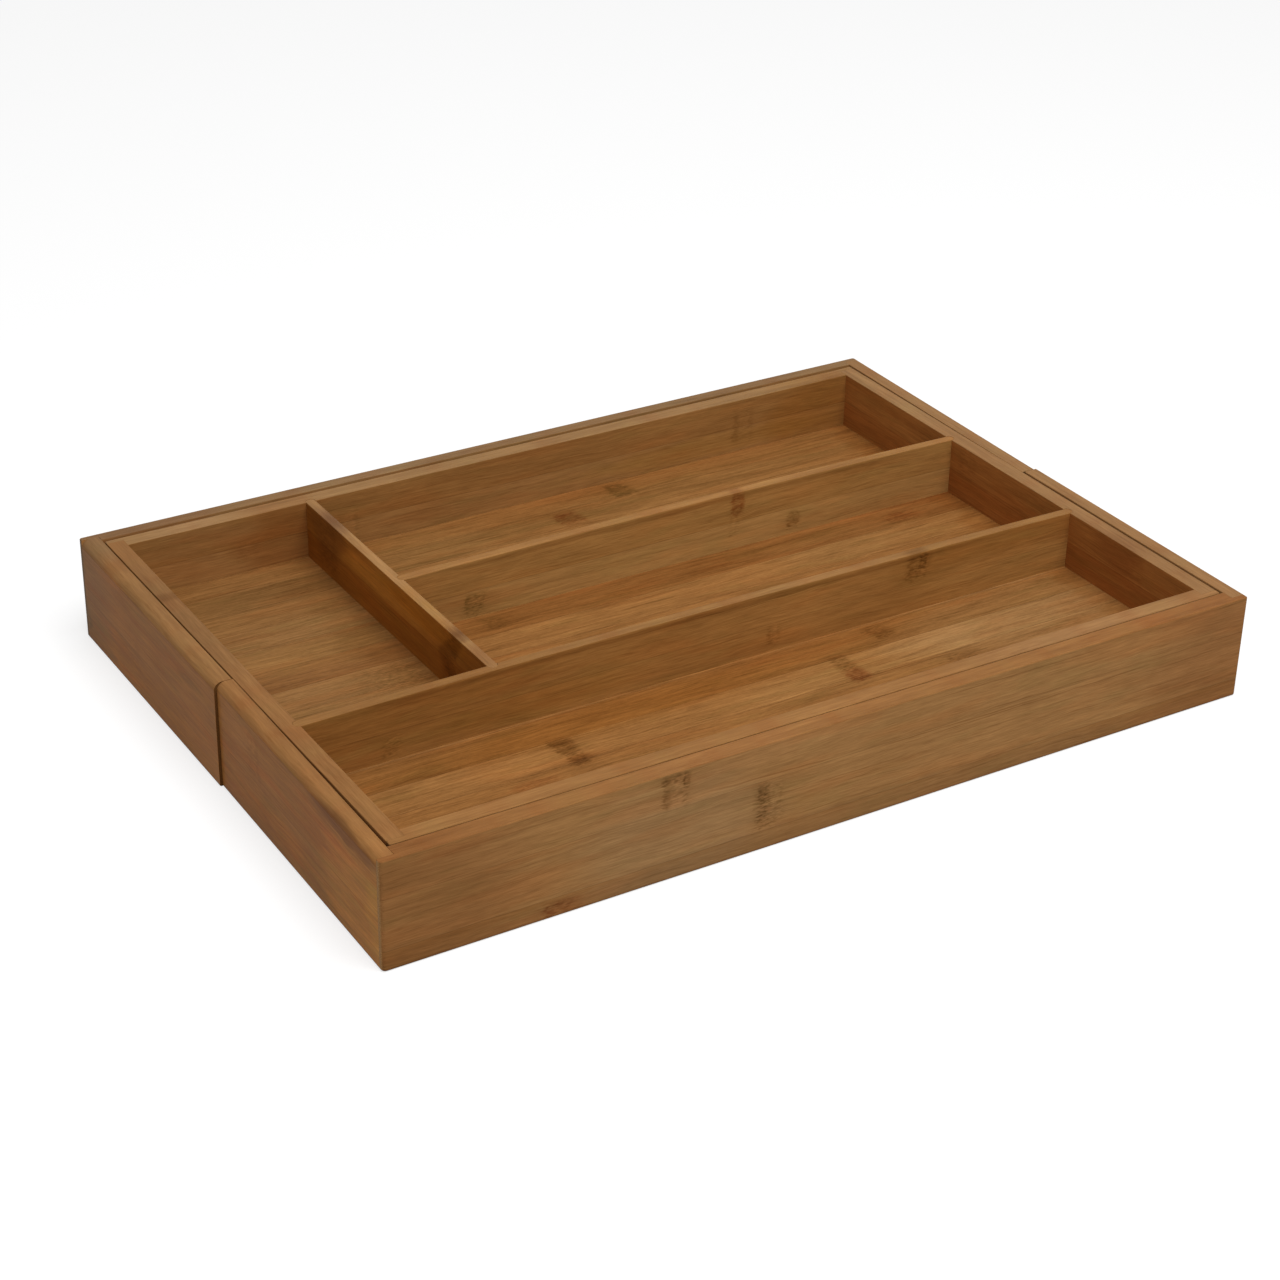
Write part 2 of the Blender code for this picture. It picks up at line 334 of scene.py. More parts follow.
class ShaderTree:
    """A node tree that is written as expressions."""

    def __init__(self, tree: bpy.types.NodeTree) -> None:
        """Keeps the tree and clears it."""
        self.tree = tree
        self.tree.nodes.clear()

    def node(self, kind: str, settings: dict | None = None, inputs: dict | None = None) -> bpy.types.Node:
        """Adds a node.

        Args:
            kind: The node's type.
            settings: Its settings, and for a ramp its interpolation and its stops.
            inputs: Values, signals or sockets for its inputs, by name or number.

        Returns:
            The node.
        """
        made = self.tree.nodes.new(kind)
        chosen = dict(settings or {})
        stops = chosen.pop("stops", None)
        if stops:
            ramp = made.color_ramp
            ramp.interpolation = chosen.pop("interpolation")
            for spare in range(len(stops) - len(ramp.elements)):
                ramp.elements.new(spare / len(stops))
            for element, (position, colour) in zip(ramp.elements, stops):
                element.position = position
                element.color = (*colour, 1.0)
        for key, value in chosen.items():
            setattr(made, key, value)
        for key, value in (inputs or {}).items():
            self.feed(made.inputs[key], value)
        return made

    def feed(self, socket: bpy.types.NodeSocket, value: Source) -> None:
        """Links a source to an input, or sets the input's own value.

        Args:
            socket: The input.
            value: A signal or socket to link, or a plain value.
        """
        if isinstance(value, Signal):
            self.tree.links.new(value.socket, socket)
        elif isinstance(value, bpy.types.NodeSocket):
            self.tree.links.new(value, socket)
        elif isinstance(value, tuple) and socket.type == "RGBA":
            socket.default_value = (*value, 1.0)
        else:
            socket.default_value = value

    def smooth_step(self, inputs: dict) -> Signal:
        """A value eased from 0 to 1 between two others."""
        made = self.node("ShaderNodeMapRange", {"interpolation_type": "SMOOTHSTEP"}, inputs)
        return Signal(self, made.outputs["Result"])

    def maths(self, operation: str, *values: Source) -> Signal:
        """The result of a Math node with one or two inputs."""
        made = self.node("ShaderNodeMath", {"operation": operation}, dict(enumerate(values)))
        return Signal(self, made.outputs[0])

    def split(self, vector: bpy.types.NodeSocket) -> tuple[Signal, Signal, Signal]:
        """The three parts of a vector."""
        made = self.node("ShaderNodeSeparateXYZ", inputs={0: vector})
        return tuple(Signal(self, socket) for socket in made.outputs)

    def noise(self, parts: tuple[Signal, Signal, Signal], detail: float) -> Signal:
        """Soft noise with features about one unit across, from 0 to 1.

        Args:
            parts: The place, in units of the wanted feature size.
            detail: How many finer layers it has.

        Returns:
            The noise, about 0.5 on the whole.
        """
        place = self.node("ShaderNodeCombineXYZ", inputs=dict(enumerate(parts)))
        inputs = {"Vector": place.outputs[0], "Scale": 1.0, "Detail": detail}
        return Signal(self, self.node("ShaderNodeTexNoise", inputs=inputs).outputs[0])

    def mix(self, share: Source, first: Source, second: Source, blend: str = "MIX") -> bpy.types.NodeSocket:
        """A mix of two colours: the first at share 0, the second at share 1."""
        settings = {"data_type": "RGBA", "blend_type": blend}
        return self.node("ShaderNodeMix", settings, {0: share, 6: first, 7: second}).outputs[2]

    def tint(self, share: Source, colour: Source, tint: Source) -> bpy.types.NodeSocket:
        """A colour multiplied by a tint, to a share."""
        return self.mix(share, colour, tint, "MULTIPLY")

    def seen(self) -> Signal:
        """1 for the camera, in reflections and through glass, and 0 for light that falls on the object.

        Returns:
            The share.
        """
        rays = self.node("ShaderNodeLightPath").outputs
        seen = Signal(self, rays["Is Camera Ray"]).or_more(Signal(self, rays["Is Glossy Ray"]))
        return seen.or_more(Signal(self, rays["Is Transmission Ray"]))


class Grain(Enum):
    """How a board lies: the axes along its fibres, across its strips, and deep."""

    LONG_UPRIGHT = (0, 2, 1)
    LONG_FLAT = (0, 1, 2)
    DEEP_UPRIGHT = (1, 2, 0)


class Cane(Enum):
    """The tone of one glued strip, as a tint over the board's own colour."""

    HONEY = (1.0, 1.0, 1.0)
    PALE = (1.07, 1.10, 1.14)
    AMBER = (0.93, 0.88, 0.80)
    RUSSET = (0.93, 0.86, 0.82)
    OLIVE = (0.95, 0.99, 0.92)


class Stain(Enum):
    """The colour of a node's scar across a strip, relative to the wood."""

    BROWN = (0.50, 0.44, 0.34)
    OLIVE = (0.56, 0.58, 0.50)
    RED = (0.62, 0.42, 0.34)
    DARK = (0.40, 0.33, 0.26)


class Tint(Enum):
    """What lies over the wood: clouds on faces and rims, a scar's halo and light fibres, dark fibres and
    painted shade lines.
    """

    WARM = (1.04, 0.91, 0.84)
    OLIVE = (0.89, 0.96, 0.92)
    GREY = (0.88, 0.87, 0.85)
    RIM_WARM = (0.95, 0.85, 0.80)
    RIM_COOL = (1.00, 1.06, 1.04)
    HALO = (0.88, 0.86, 0.80)
    GLINT = (1.24, 1.20, 1.24)
    DARK_FIBRE = (0.50, 0.40, 0.30)


class Figure(Enum):
    """A figure in the wood: its length along the fibres, its width across them, and its finer layers."""

    DRIFT = (48, 14, 1)
    RIPPLE = (13, 5, 1)
    FINE = (9, 0.40, 2)
    STREAK = (28, 1.25, 2)
    BAND = (75, 5.5, 2)
    LINE = (60, 0.62, 1)
    SPECK = (2.6, 0.45, 1)
    FLECK = (2.8, 0.85, 3)
    BLOT = (7, 3.5, 2)
    WARM_CLOUD = (55, 9, 2)
    GREY_CLOUD = (60, 22, 2)

    def noise(self, tree: ShaderTree, along: Signal, across: Signal, deep: Signal) -> Signal:
        """The figure's noise at a place, from 0 to 1."""
        length, width, layers = self.value
        return tree.noise((along / length, across / width, deep / width), layers)

    def swing(self, tree: ShaderTree, along: Signal, across: Signal, deep: Signal) -> Signal:
        """The figure's noise at a place, about 0."""
        return self.noise(tree, along, across, deep) - 0.5


# How far a strip's figure lies from its neighbour's, and one seed's from the next
STRIP_SHIFT = 173
SEED_SHIFT = 31

# How far the fibres wander across the board, slowly and in ripples
DRIFT_REACH = 3.4
RIPPLE_REACH = 0.9

# How far scars and patches follow them, along and across, and dark fibres and painted shade lines, across
SCAR_WANDER = (3.0, 1.5)
PATCH_WANDER = (30.0, 4.0)
FIBRE_AND_SHADE_WANDER = 0.8

# How much the fine fibres, the streaks and the bands show on faces and on rims, and the dark lines on faces
FACE_WEIGHTS = (0.62, 0.50, 0.40)
RIM_WEIGHTS = (0.55, 0.56, 0.50)
LINE_WEIGHT = 0.16

# Between which levels of their noise the dark lines, the blots in scars, the pores and the clouds come up
LINE_RANGE = (0.60, 0.76)
BLOT_RANGE = (0.34, 0.62)
PORE_RANGE = (0.42, 0.62)
WARM_RANGE = (0.46, 0.72)
OLIVE_RANGE = (0.50, 0.72)
GREY_RANGE = (0.35, 0.65)
RIM_WARM_RANGE = (0.48, 0.70)
RIM_COOL_RANGE = (0.30, 0.50)

# The oiled surface: its roughness, how deep its fibres lie in millimetres, what fine fibres, streaks and
# glue lines do to both, and how little it reflects
ROUGHNESS = 0.47
FIBRE_DEPTH = 0.12
BUMP_STRENGTH = 0.20
FINE_ROUGHNESS = 0.14
STREAK_ROUGHNESS = 0.08
FINE_HEIGHT = 0.7
STREAK_HEIGHT = 0.5
GLUE_SINK = 0.5
REFRACTION = 1.5
SPECULAR = 0.03

# A glue line between strips: where its dark fades, counted from its middle, and how dark it is
GLUE_FADE = (0.05, 0.30)
GLUE_DARKNESS = 0.22

# From which upward part of its normal a face turns into the rim, and from which sideways part into end
# grain
RIM_TURN = (0.05, 0.65)
END_TURN = (0.80, 0.97)

# The light and the dark of the fibres on faces, rims and end grain, as shares of the board's own colour
FACE_LIGHT = 1.58
FACE_DARK = (0.50, 0.43, 0.34)
RIM_LIGHT = 1.48
RIM_DARK = (0.56, 0.50, 0.42)
END_SHADES = (1.05, 0.70)
PORE = 0.5

# How much the clouds show, how high a scar reaches that stains the rim, and how much it stains it
CLOUD_SHARE = 0.60
RIM_CLOUD_SHARE = 0.8
RIM_STAIN_FROM = 53.2
RIM_STAIN_SHARE = 0.42
RIM_STAIN_FADE = (0.3, 1.3)

# A scar's outline: how far it is torn, along in half lengths and across in millimetres, and where its sides
# fade, in widths
SCAR_TEAR_ALONG = 1.1
SCAR_TEAR_ACROSS = 5.0
SCAR_SIDES = (0.30, 0.58)

# Its halo, inside, blush and light fibres: where they fade, in half lengths from its middle, and their shares
HALO_FADE = (0.7, 2.8)
HALO_SHARE = 0.30
INSIDE_FADE = (0.5, 1.4)
FLECK_RANGE = (0.48, 0.68)
FLECK_SHARE = 0.40
BLUSH_FADE = (0.0, 1.7)
GLINT_PLACE = 0.2
GLINT_FADE = (0.4, 1.3)
GLINT_RANGE = (0.38, 0.50)
GLINT_SHARE = 0.7

# Its two dark ridges: where they lie, in half lengths, where they fade, and their share
FIRST_RIDGE = -0.66
FIRST_RIDGE_FADE = (0.06, 0.42)
SECOND_RIDGE = 0.80
SECOND_RIDGE_FADE = (0.0, 0.36)
RIDGE_SHARE = 0.80

# Where a patch fades, in half sizes squared, and a dark fibre's or painted shade line's core and tapered
# ends, as shares of it
PATCH_FADE = (0.15, 1.7)
FIBRE_AND_SHADE_CORE = 0.2
FIBRE_AND_SHADE_TAPER = 0.2


@dataclass(frozen=True)
class NodeScar:
    """Where a node of the cane crosses a strip: a ragged dark bar, flecks, light fibres and a blush."""

    along: float
    across: float
    length: float
    width: float
    strength: float = 1.0
    stain: Stain = Stain.BROWN
    bars: float = 0.5
    slant: float = 0.0
    blush: float = 0.12


@dataclass(frozen=True)
class DarkFibreAndShadeLine:
    """A dark line over some length: a dark fibre in the wood, or a line of painted shade along a foot or
    under a rim.
    """

    start: float
    end: float
    across: float
    drop: float = 0.0
    thickness: float = 0.5
    strength: float = 0.5


@dataclass(frozen=True)
class Patch:
    """A soft patch where the board is tinted darker, paler or greyer: mostly the wood's own tone, in a few
    places painted shade.
    """

    along: float
    across: float
    length: float
    width: float
    tint: Colour


@dataclass(frozen=True)
class Bamboo:
    """Oiled bamboo as one board shows it."""

    grain: Grain
    face: Colour
    rim: Colour
    first_strip: float
    strip_width: float
    canes: tuple[Cane, ...] = (Cane.HONEY,)
    scars: tuple[NodeScar, ...] = ()
    # Dark fibres in the wood, and lines of painted shade along a foot or under a rim
    fibres: tuple[DarkFibreAndShadeLine, ...] = ()
    patches: tuple[Patch, ...] = ()
    seed: float = 0.0
    contrast: float = 1.0
    specks: float = 0.14
    mottle: float = 1.0
    end_tone: float = 0.8

    def material(self, name: str) -> bpy.types.Material:
        """Writes the board's material.

        Args:
            name: The material's name.

        Returns:
            The material.
        """
        made = bpy.data.materials.new(name)
        made.use_nodes = True
        tree = ShaderTree(made.node_tree)
        source = tree.node("ShaderNodeTexCoord")
        place = [part * (1 / MM) for part in tree.split(source.outputs["Object"])]
        normal = tree.split(source.outputs["Normal"])
        along, across, deep = (place[axis] for axis in self.grain.value)

        drift = Figure.DRIFT.swing(tree, along + self.seed, across, deep)
        ripple = Figure.RIPPLE.swing(tree, along - self.seed, across, deep)
        bent = across + drift * DRIFT_REACH + ripple * RIPPLE_REACH
        number = ((across - self.first_strip) / self.strip_width).whole()
        start = along + number * STRIP_SHIFT + self.seed * SEED_SHIFT

        figures = (Figure.FINE, Figure.STREAK, Figure.BAND, Figure.SPECK)
        fine, streak, band, speck = (figure.swing(tree, start, bent, deep) for figure in figures)
        line = Figure.LINE.noise(tree, start, bent, deep).rise(*LINE_RANGE)
        fibres = self.weigh((fine, streak, band), FACE_WEIGHTS) - line * LINE_WEIGHT
        shade = fibres * self.contrast + speck * self.specks
        colour = self.board_colour(tree, shade, number, start, across, deep)

        edge = tree.maths("PINGPONG", across - self.first_strip, self.strip_width / 2)
        glue = edge.fall(*GLUE_FADE)
        colour = tree.mix(glue * GLUE_DARKNESS, colour, (0.0, 0.0, 0.0))
        fleck = Figure.FLECK.noise(tree, along, bent, deep)
        blot = Figure.BLOT.noise(tree, along, across, deep).rise(*BLOT_RANGE)
        far, wide = along + ripple * SCAR_WANDER[0], across + drift * SCAR_WANDER[1]
        for scar in self.scars:
            colour = self.scar(tree, scar, far, wide, (fleck, blot), colour)
        # Dark fibres, and lines of painted shade along a foot or under a rim
        for fibre in self.fibres:
            colour = self.dark_fibre_and_shade_line(tree, fibre, along, across + ripple * FIBRE_AND_SHADE_WANDER, colour)

        if self.grain is not Grain.LONG_FLAT:
            fibres = self.weigh((fine, streak, band), RIM_WEIGHTS)
            top = self.rim_colour(tree, fibres * self.contrast, along)
            colour = tree.mix(normal[2].rise(*RIM_TURN), colour, top)
        far, wide = along + drift * PATCH_WANDER[0], across + ripple * PATCH_WANDER[1]
        for patch in self.patches:
            colour = self.patch(tree, patch, far, wide, colour)
        pores = tree.noise(tuple(part / PORE for part in place), 1).rise(*PORE_RANGE)
        light, dark = (tuple(part * self.end_tone * ratio for part in self.face) for ratio in END_SHADES)
        ends = tree.mix(pores, dark, light)
        colour = tree.mix(abs(normal[self.grain.value[0]]).rise(*END_TURN), colour, ends)

        rough = ROUGHNESS + fine * FINE_ROUGHNESS + streak * STREAK_ROUGHNESS
        height = fine * FINE_HEIGHT + streak * STREAK_HEIGHT - glue * GLUE_SINK
        inputs = {"Strength": BUMP_STRENGTH, "Distance": FIBRE_DEPTH * MM, "Height": height}
        bump = tree.node("ShaderNodeBump", inputs=inputs)
        shader = tree.node(
            "ShaderNodeBsdfPrincipled",
            inputs={
                "Base Color": colour, "Roughness": rough, "Normal": bump.outputs[0],
                "IOR": REFRACTION, "Specular IOR Level": SPECULAR,
            },
        )
        tree.node("ShaderNodeOutputMaterial", inputs={"Surface": shader.outputs[0]})
        return made

    def weigh(self, figures: tuple[Signal, ...], weights: tuple[float, ...]) -> Signal:
        """The sum of some figures, each times its weight."""
        first, second, third = (figure * weight for figure, weight in zip(figures, weights))
        return first + second + third

    def board_colour(
        self,
        tree: ShaderTree,
        shade: Signal,
        number: Signal,
        start: Signal,
        across: Signal,
        deep: Signal,
    ) -> bpy.types.NodeSocket:
        """The wood of the board's faces: fibres, the strips' own tones, and warm and olive clouds.

        Args:
            tree: The material's tree.
            shade: The fibres, about 0.
            number: The number of the strip.
            start: The place along the fibres, shifted from strip to strip.
            across: The place across them.
            deep: The place in the board's depth.

        Returns:
            The colour.
        """
        light = tuple(value * FACE_LIGHT for value in self.face)
        dark = tuple(value * ratio for value, ratio in zip(self.face, FACE_DARK))
        colour = tree.mix(shade + 0.5, dark, light)
        count = len(self.canes)
        if count > 1:
            stops = [(index / count, cane.value) for index, cane in enumerate(self.canes)]
            settings = {"interpolation": "CONSTANT", "stops": stops}
            ramp = tree.node("ShaderNodeValToRGB", settings, {0: (number + 0.5) / count})
            colour = tree.tint(1.0, colour, ramp.outputs[0])
        warm = Figure.WARM_CLOUD.noise(tree, start, across, deep).rise(*WARM_RANGE)
        olive = tree.noise((start / 36, across / 7, deep / 30), 2).rise(*OLIVE_RANGE)
        grey = Figure.GREY_CLOUD.noise(tree, start, across, deep).rise(*GREY_RANGE)
        for cloud, tint in ((warm, Tint.WARM), (olive, Tint.OLIVE), (grey, Tint.GREY)):
            colour = tree.tint(cloud * (CLOUD_SHARE * self.mottle), colour, tint.value)
        return colour

    def patch(
        self, tree: ShaderTree, patch: Patch, along: Signal, across: Signal, colour: Source,
    ) -> bpy.types.NodeSocket:
        """Tints the wood in one soft patch.

        Args:
            tree: The material's tree.
            patch: The patch.
            along: The place along the fibres.
            across: The place across them.
            colour: The wood so far.

        Returns:
            The wood with the patch.
        """
        far = (along - patch.along) / (patch.length / 2)
        wide = (across - patch.across) / (patch.width / 2)
        return tree.tint((far * far + wide * wide).fall(*PATCH_FADE), colour, patch.tint)

    def rim_colour(self, tree: ShaderTree, shade: Signal, along: Signal) -> bpy.types.NodeSocket:
        """The lighter wood of the board's top edge, where the scars run over it; on the front divider it also
        holds a painted highlight.

        Args:
            tree: The material's tree.
            shade: The fibres, about 0.
            along: The place along the fibres.

        Returns:
            The colour.
        """
        light = tuple(value * RIM_LIGHT for value in self.rim)
        dark = tuple(value * ratio for value, ratio in zip(self.rim, RIM_DARK))
        colour = tree.mix(shade + 0.5, dark, light)
        cloud = tree.noise(((along + self.seed * 9) / 22, self.seed + shade * 0.8, self.seed), 2)
        colour = tree.tint(cloud.rise(*RIM_WARM_RANGE) * RIM_CLOUD_SHARE, colour, Tint.RIM_WARM.value)
        colour = tree.tint(cloud.fall(*RIM_COOL_RANGE) * RIM_CLOUD_SHARE, colour, Tint.RIM_COOL.value)
        for scar in self.scars:
            if scar.across + scar.width / 2 > RIM_STAIN_FROM:
                near = (abs(along - scar.along) / (scar.length / 2)).fall(*RIM_STAIN_FADE)
                colour = tree.tint(near * RIM_STAIN_SHARE * scar.strength, colour, scar.stain.value)
        return colour

    def scar(
        self,
        tree: ShaderTree,
        scar: NodeScar,
        along: Signal,
        across: Signal,
        broken: tuple[Signal, Signal],
        colour: Source,
    ) -> bpy.types.NodeSocket:
        """Lays one node scar over the wood.

        Args:
            tree: The material's tree.
            scar: The scar.
            along: The place along the fibres.
            across: The place across them.
            broken: Noise in flecks and in blots, which breaks the scar up.
            colour: The wood so far.

        Returns:
            The wood with the scar.
        """
        fleck, blot = broken
        tear = fleck - 0.5
        sideways = across - scar.across
        offset = (along + sideways * scar.slant - scar.along) / (scar.length / 2)
        within = abs(sideways + tear * SCAR_TEAR_ACROSS).fall(*(scar.width * side for side in SCAR_SIDES))
        near = abs(offset).fall(*HALO_FADE) * within
        colour = tree.tint(near * (HALO_SHARE * scar.strength), colour, Tint.HALO.value)
        torn = offset + tear * SCAR_TEAR_ALONG
        first = abs(torn - FIRST_RIDGE).fall(*FIRST_RIDGE_FADE) * (blot * 0.6 + 0.4)
        second = abs(torn - SECOND_RIDGE).fall(*SECOND_RIDGE_FADE) * blot * 0.6
        inside = abs(offset).fall(*INSIDE_FADE)
        middle = sideways / (scar.width / 2)
        cloud = (torn * torn + middle * middle).fall(*BLUSH_FADE) * (blot * 0.5 + 0.5)
        bars = first.or_more(second) * (RIDGE_SHARE * scar.bars)
        spots = inside * fleck.rise(*FLECK_RANGE) * FLECK_SHARE + cloud * scar.blush
        dark = tree.tint(1.0, colour, scar.stain.value)
        colour = tree.mix(within * (bars + spots) * scar.strength, colour, dark)
        glint = within * abs(offset - GLINT_PLACE).fall(*GLINT_FADE) * fleck.fall(*GLINT_RANGE)
        return tree.tint(glint * (GLINT_SHARE * scar.strength), colour, Tint.GLINT.value)

    def dark_fibre_and_shade_line(
        self, tree: ShaderTree, fibre: DarkFibreAndShadeLine, along: Signal, across: Signal, colour: Source,
    ) -> bpy.types.NodeSocket:
        """Lays one dark fibre, or one line of painted shade, over the wood.

        Args:
            tree: The material's tree.
            fibre: The fibre or painted shade line.
            along: The place along the fibres.
            across: The place across them.
            colour: The wood so far.

        Returns:
            The wood with the fibre or shade line.
        """
        slope = fibre.drop / (fibre.end - fibre.start)
        line = across - fibre.across + (along - fibre.start) * slope
        taper = (fibre.end - fibre.start) * FIBRE_AND_SHADE_TAPER
        length = along.rise(fibre.start, fibre.start + taper) * along.fall(fibre.end - taper, fibre.end)
        share = abs(line).fall(fibre.thickness * FIBRE_AND_SHADE_CORE, fibre.thickness) * length * fibre.strength
        return tree.tint(share, colour, Tint.DARK_FIBRE.value)


@dataclass
class Assembly:
    """A sub-assembly that moves as one body, and the bamboo of its boards by part."""

    body: str
    finishes: dict[str, Bamboo]
    top: float = field(default=52.7, kw_only=True)
    lap: float = field(default=3.0, kw_only=True)
    hairline: float = field(default=0.03, kw_only=True)
    housing: float = field(default=4.0, kw_only=True)

    def give(self, piece: bpy.types.Object, part: str, slot: str) -> None:
        """Smooths and dresses a board, hides its CAD node and attaches the board to its body in the node's
        place.

        Args:
            piece: The board.
            part: The finish's name.
            slot: The record's material slot. It is not used.
        """
        bench.polish(piece)
        piece.data.materials.clear()
        piece.data.materials.append(self.finishes[part].material(piece.name))
        node = piece.name.removesuffix("_board")
        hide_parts(node)
        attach(piece, self.body)
        log.info("%s stands for %s on %s", piece.name, node, self.body)


@dataclass
class ClosedOutside:
    """The closed tray's outside, from which the wings are sawn. Only the left returns have a round top."""

    half_x: float = 225.0
    half_y: float = 160.0
    top: float = 52.7
    front_left_round: float = 1.8
    corner_round: float = 1.0
    left_round: float = 4.0
    top_round: float = 0.5
    foot_round: float = 0.8
    corner_steps: int = 6
    top_steps: int = 12
    foot_steps: int = 4

    def inset(self, radius: float, depth: float) -> float:
        """How far a rounded edge pulls the upright face in, at a depth from the flat face."""
        climb = max(radius - depth, 0.0)
        return radius - math.sqrt(radius ** 2 - climb ** 2)

    def depths(self, radius: float, steps: int) -> list[float]:
        """Distances from the flat face of the points along a rounded edge, from the upright face on."""
        return [radius * (1 - math.sin(step / steps * math.pi / 2)) for step in range(steps + 1)]

    def levels(self) -> list[tuple[float, float, float, float]]:
        """Works out every ring from the foot up.

        Returns:
            Each ring's height, left end, right end and half depth.
        """
        rings = []
        for depth in reversed(self.depths(self.foot_round, self.foot_steps)):
            inset = self.inset(self.foot_round, depth)
            rings.append((depth, inset - self.half_x, self.half_x - inset, self.half_y - inset))
        for depth in self.depths(self.left_round, self.top_steps):
            rings.append((
                self.top - depth,
                self.inset(self.left_round, depth) - self.half_x,
                self.half_x - self.inset(self.top_round, depth),
                self.half_y - self.inset(self.top_round, depth),
            ))
        return rings

    def build(self) -> bpy.types.Object:
        """Draws the footprint with round corners and pulls it up, ring by ring.

        Returns:
            The closed body.
        """
        rings = self.levels()
        height, left, right, half_y = rings[0]
        bpy.ops.object.select_all(action="DESELECT")
        bpy.ops.mesh.primitive_plane_add(size=1.0, location=((left + right) / 2 * MM, 0.0, height * MM))
        piece = bpy.context.object
        piece.name = "closed_outside"
        piece.scale = ((right - left) * MM, 2 * half_y * MM, 1.0)
        bpy.ops.object.transform_apply(location=True, rotation=True, scale=True)
        with bench.editing(piece, Element.VERT):
            for chosen, radius in ((False, self.corner_round), (True, self.front_left_round)):
                bench.pick(
                    piece, Element.VERT,
                    lambda middle, way, chosen=chosen: (middle.x < 0 and middle.y < 0) is chosen,
                )
                bpy.ops.mesh.bevel(offset=radius * MM, segments=self.corner_steps, affect="VERTICES")
        with bench.editing(piece, Element.FACE):
            for lower, upper in zip(rings, rings[1:]):
                self.pull_up(lower, upper)
            bpy.ops.mesh.select_all(action="SELECT")
            bpy.ops.mesh.normals_make_consistent(inside=False)
        return piece

    def pull_up(self, lower: tuple[float, ...], upper: tuple[float, ...]) -> None:
        """Extrudes the ring that is selected up to the next one.

        Args:
            lower: The ring's height, left end, right end and half depth.
            upper: The next ring's.
        """
        low_middle, high_middle = ((ring[1] + ring[2]) / 2 for ring in (lower, upper))
        rise = (upper[0] - lower[0]) * MM
        shift = (high_middle - low_middle) * MM
        bpy.ops.mesh.extrude_region_move(TRANSFORM_OT_translate={"value": (shift, 0.0, rise)})
        share_x = (upper[2] - upper[1]) / (lower[2] - lower[1])
        centre = (high_middle * MM, 0.0, upper[0] * MM)
        bpy.ops.transform.resize(value=(share_x, upper[3] / lower[3], 1.0), center_override=centre)


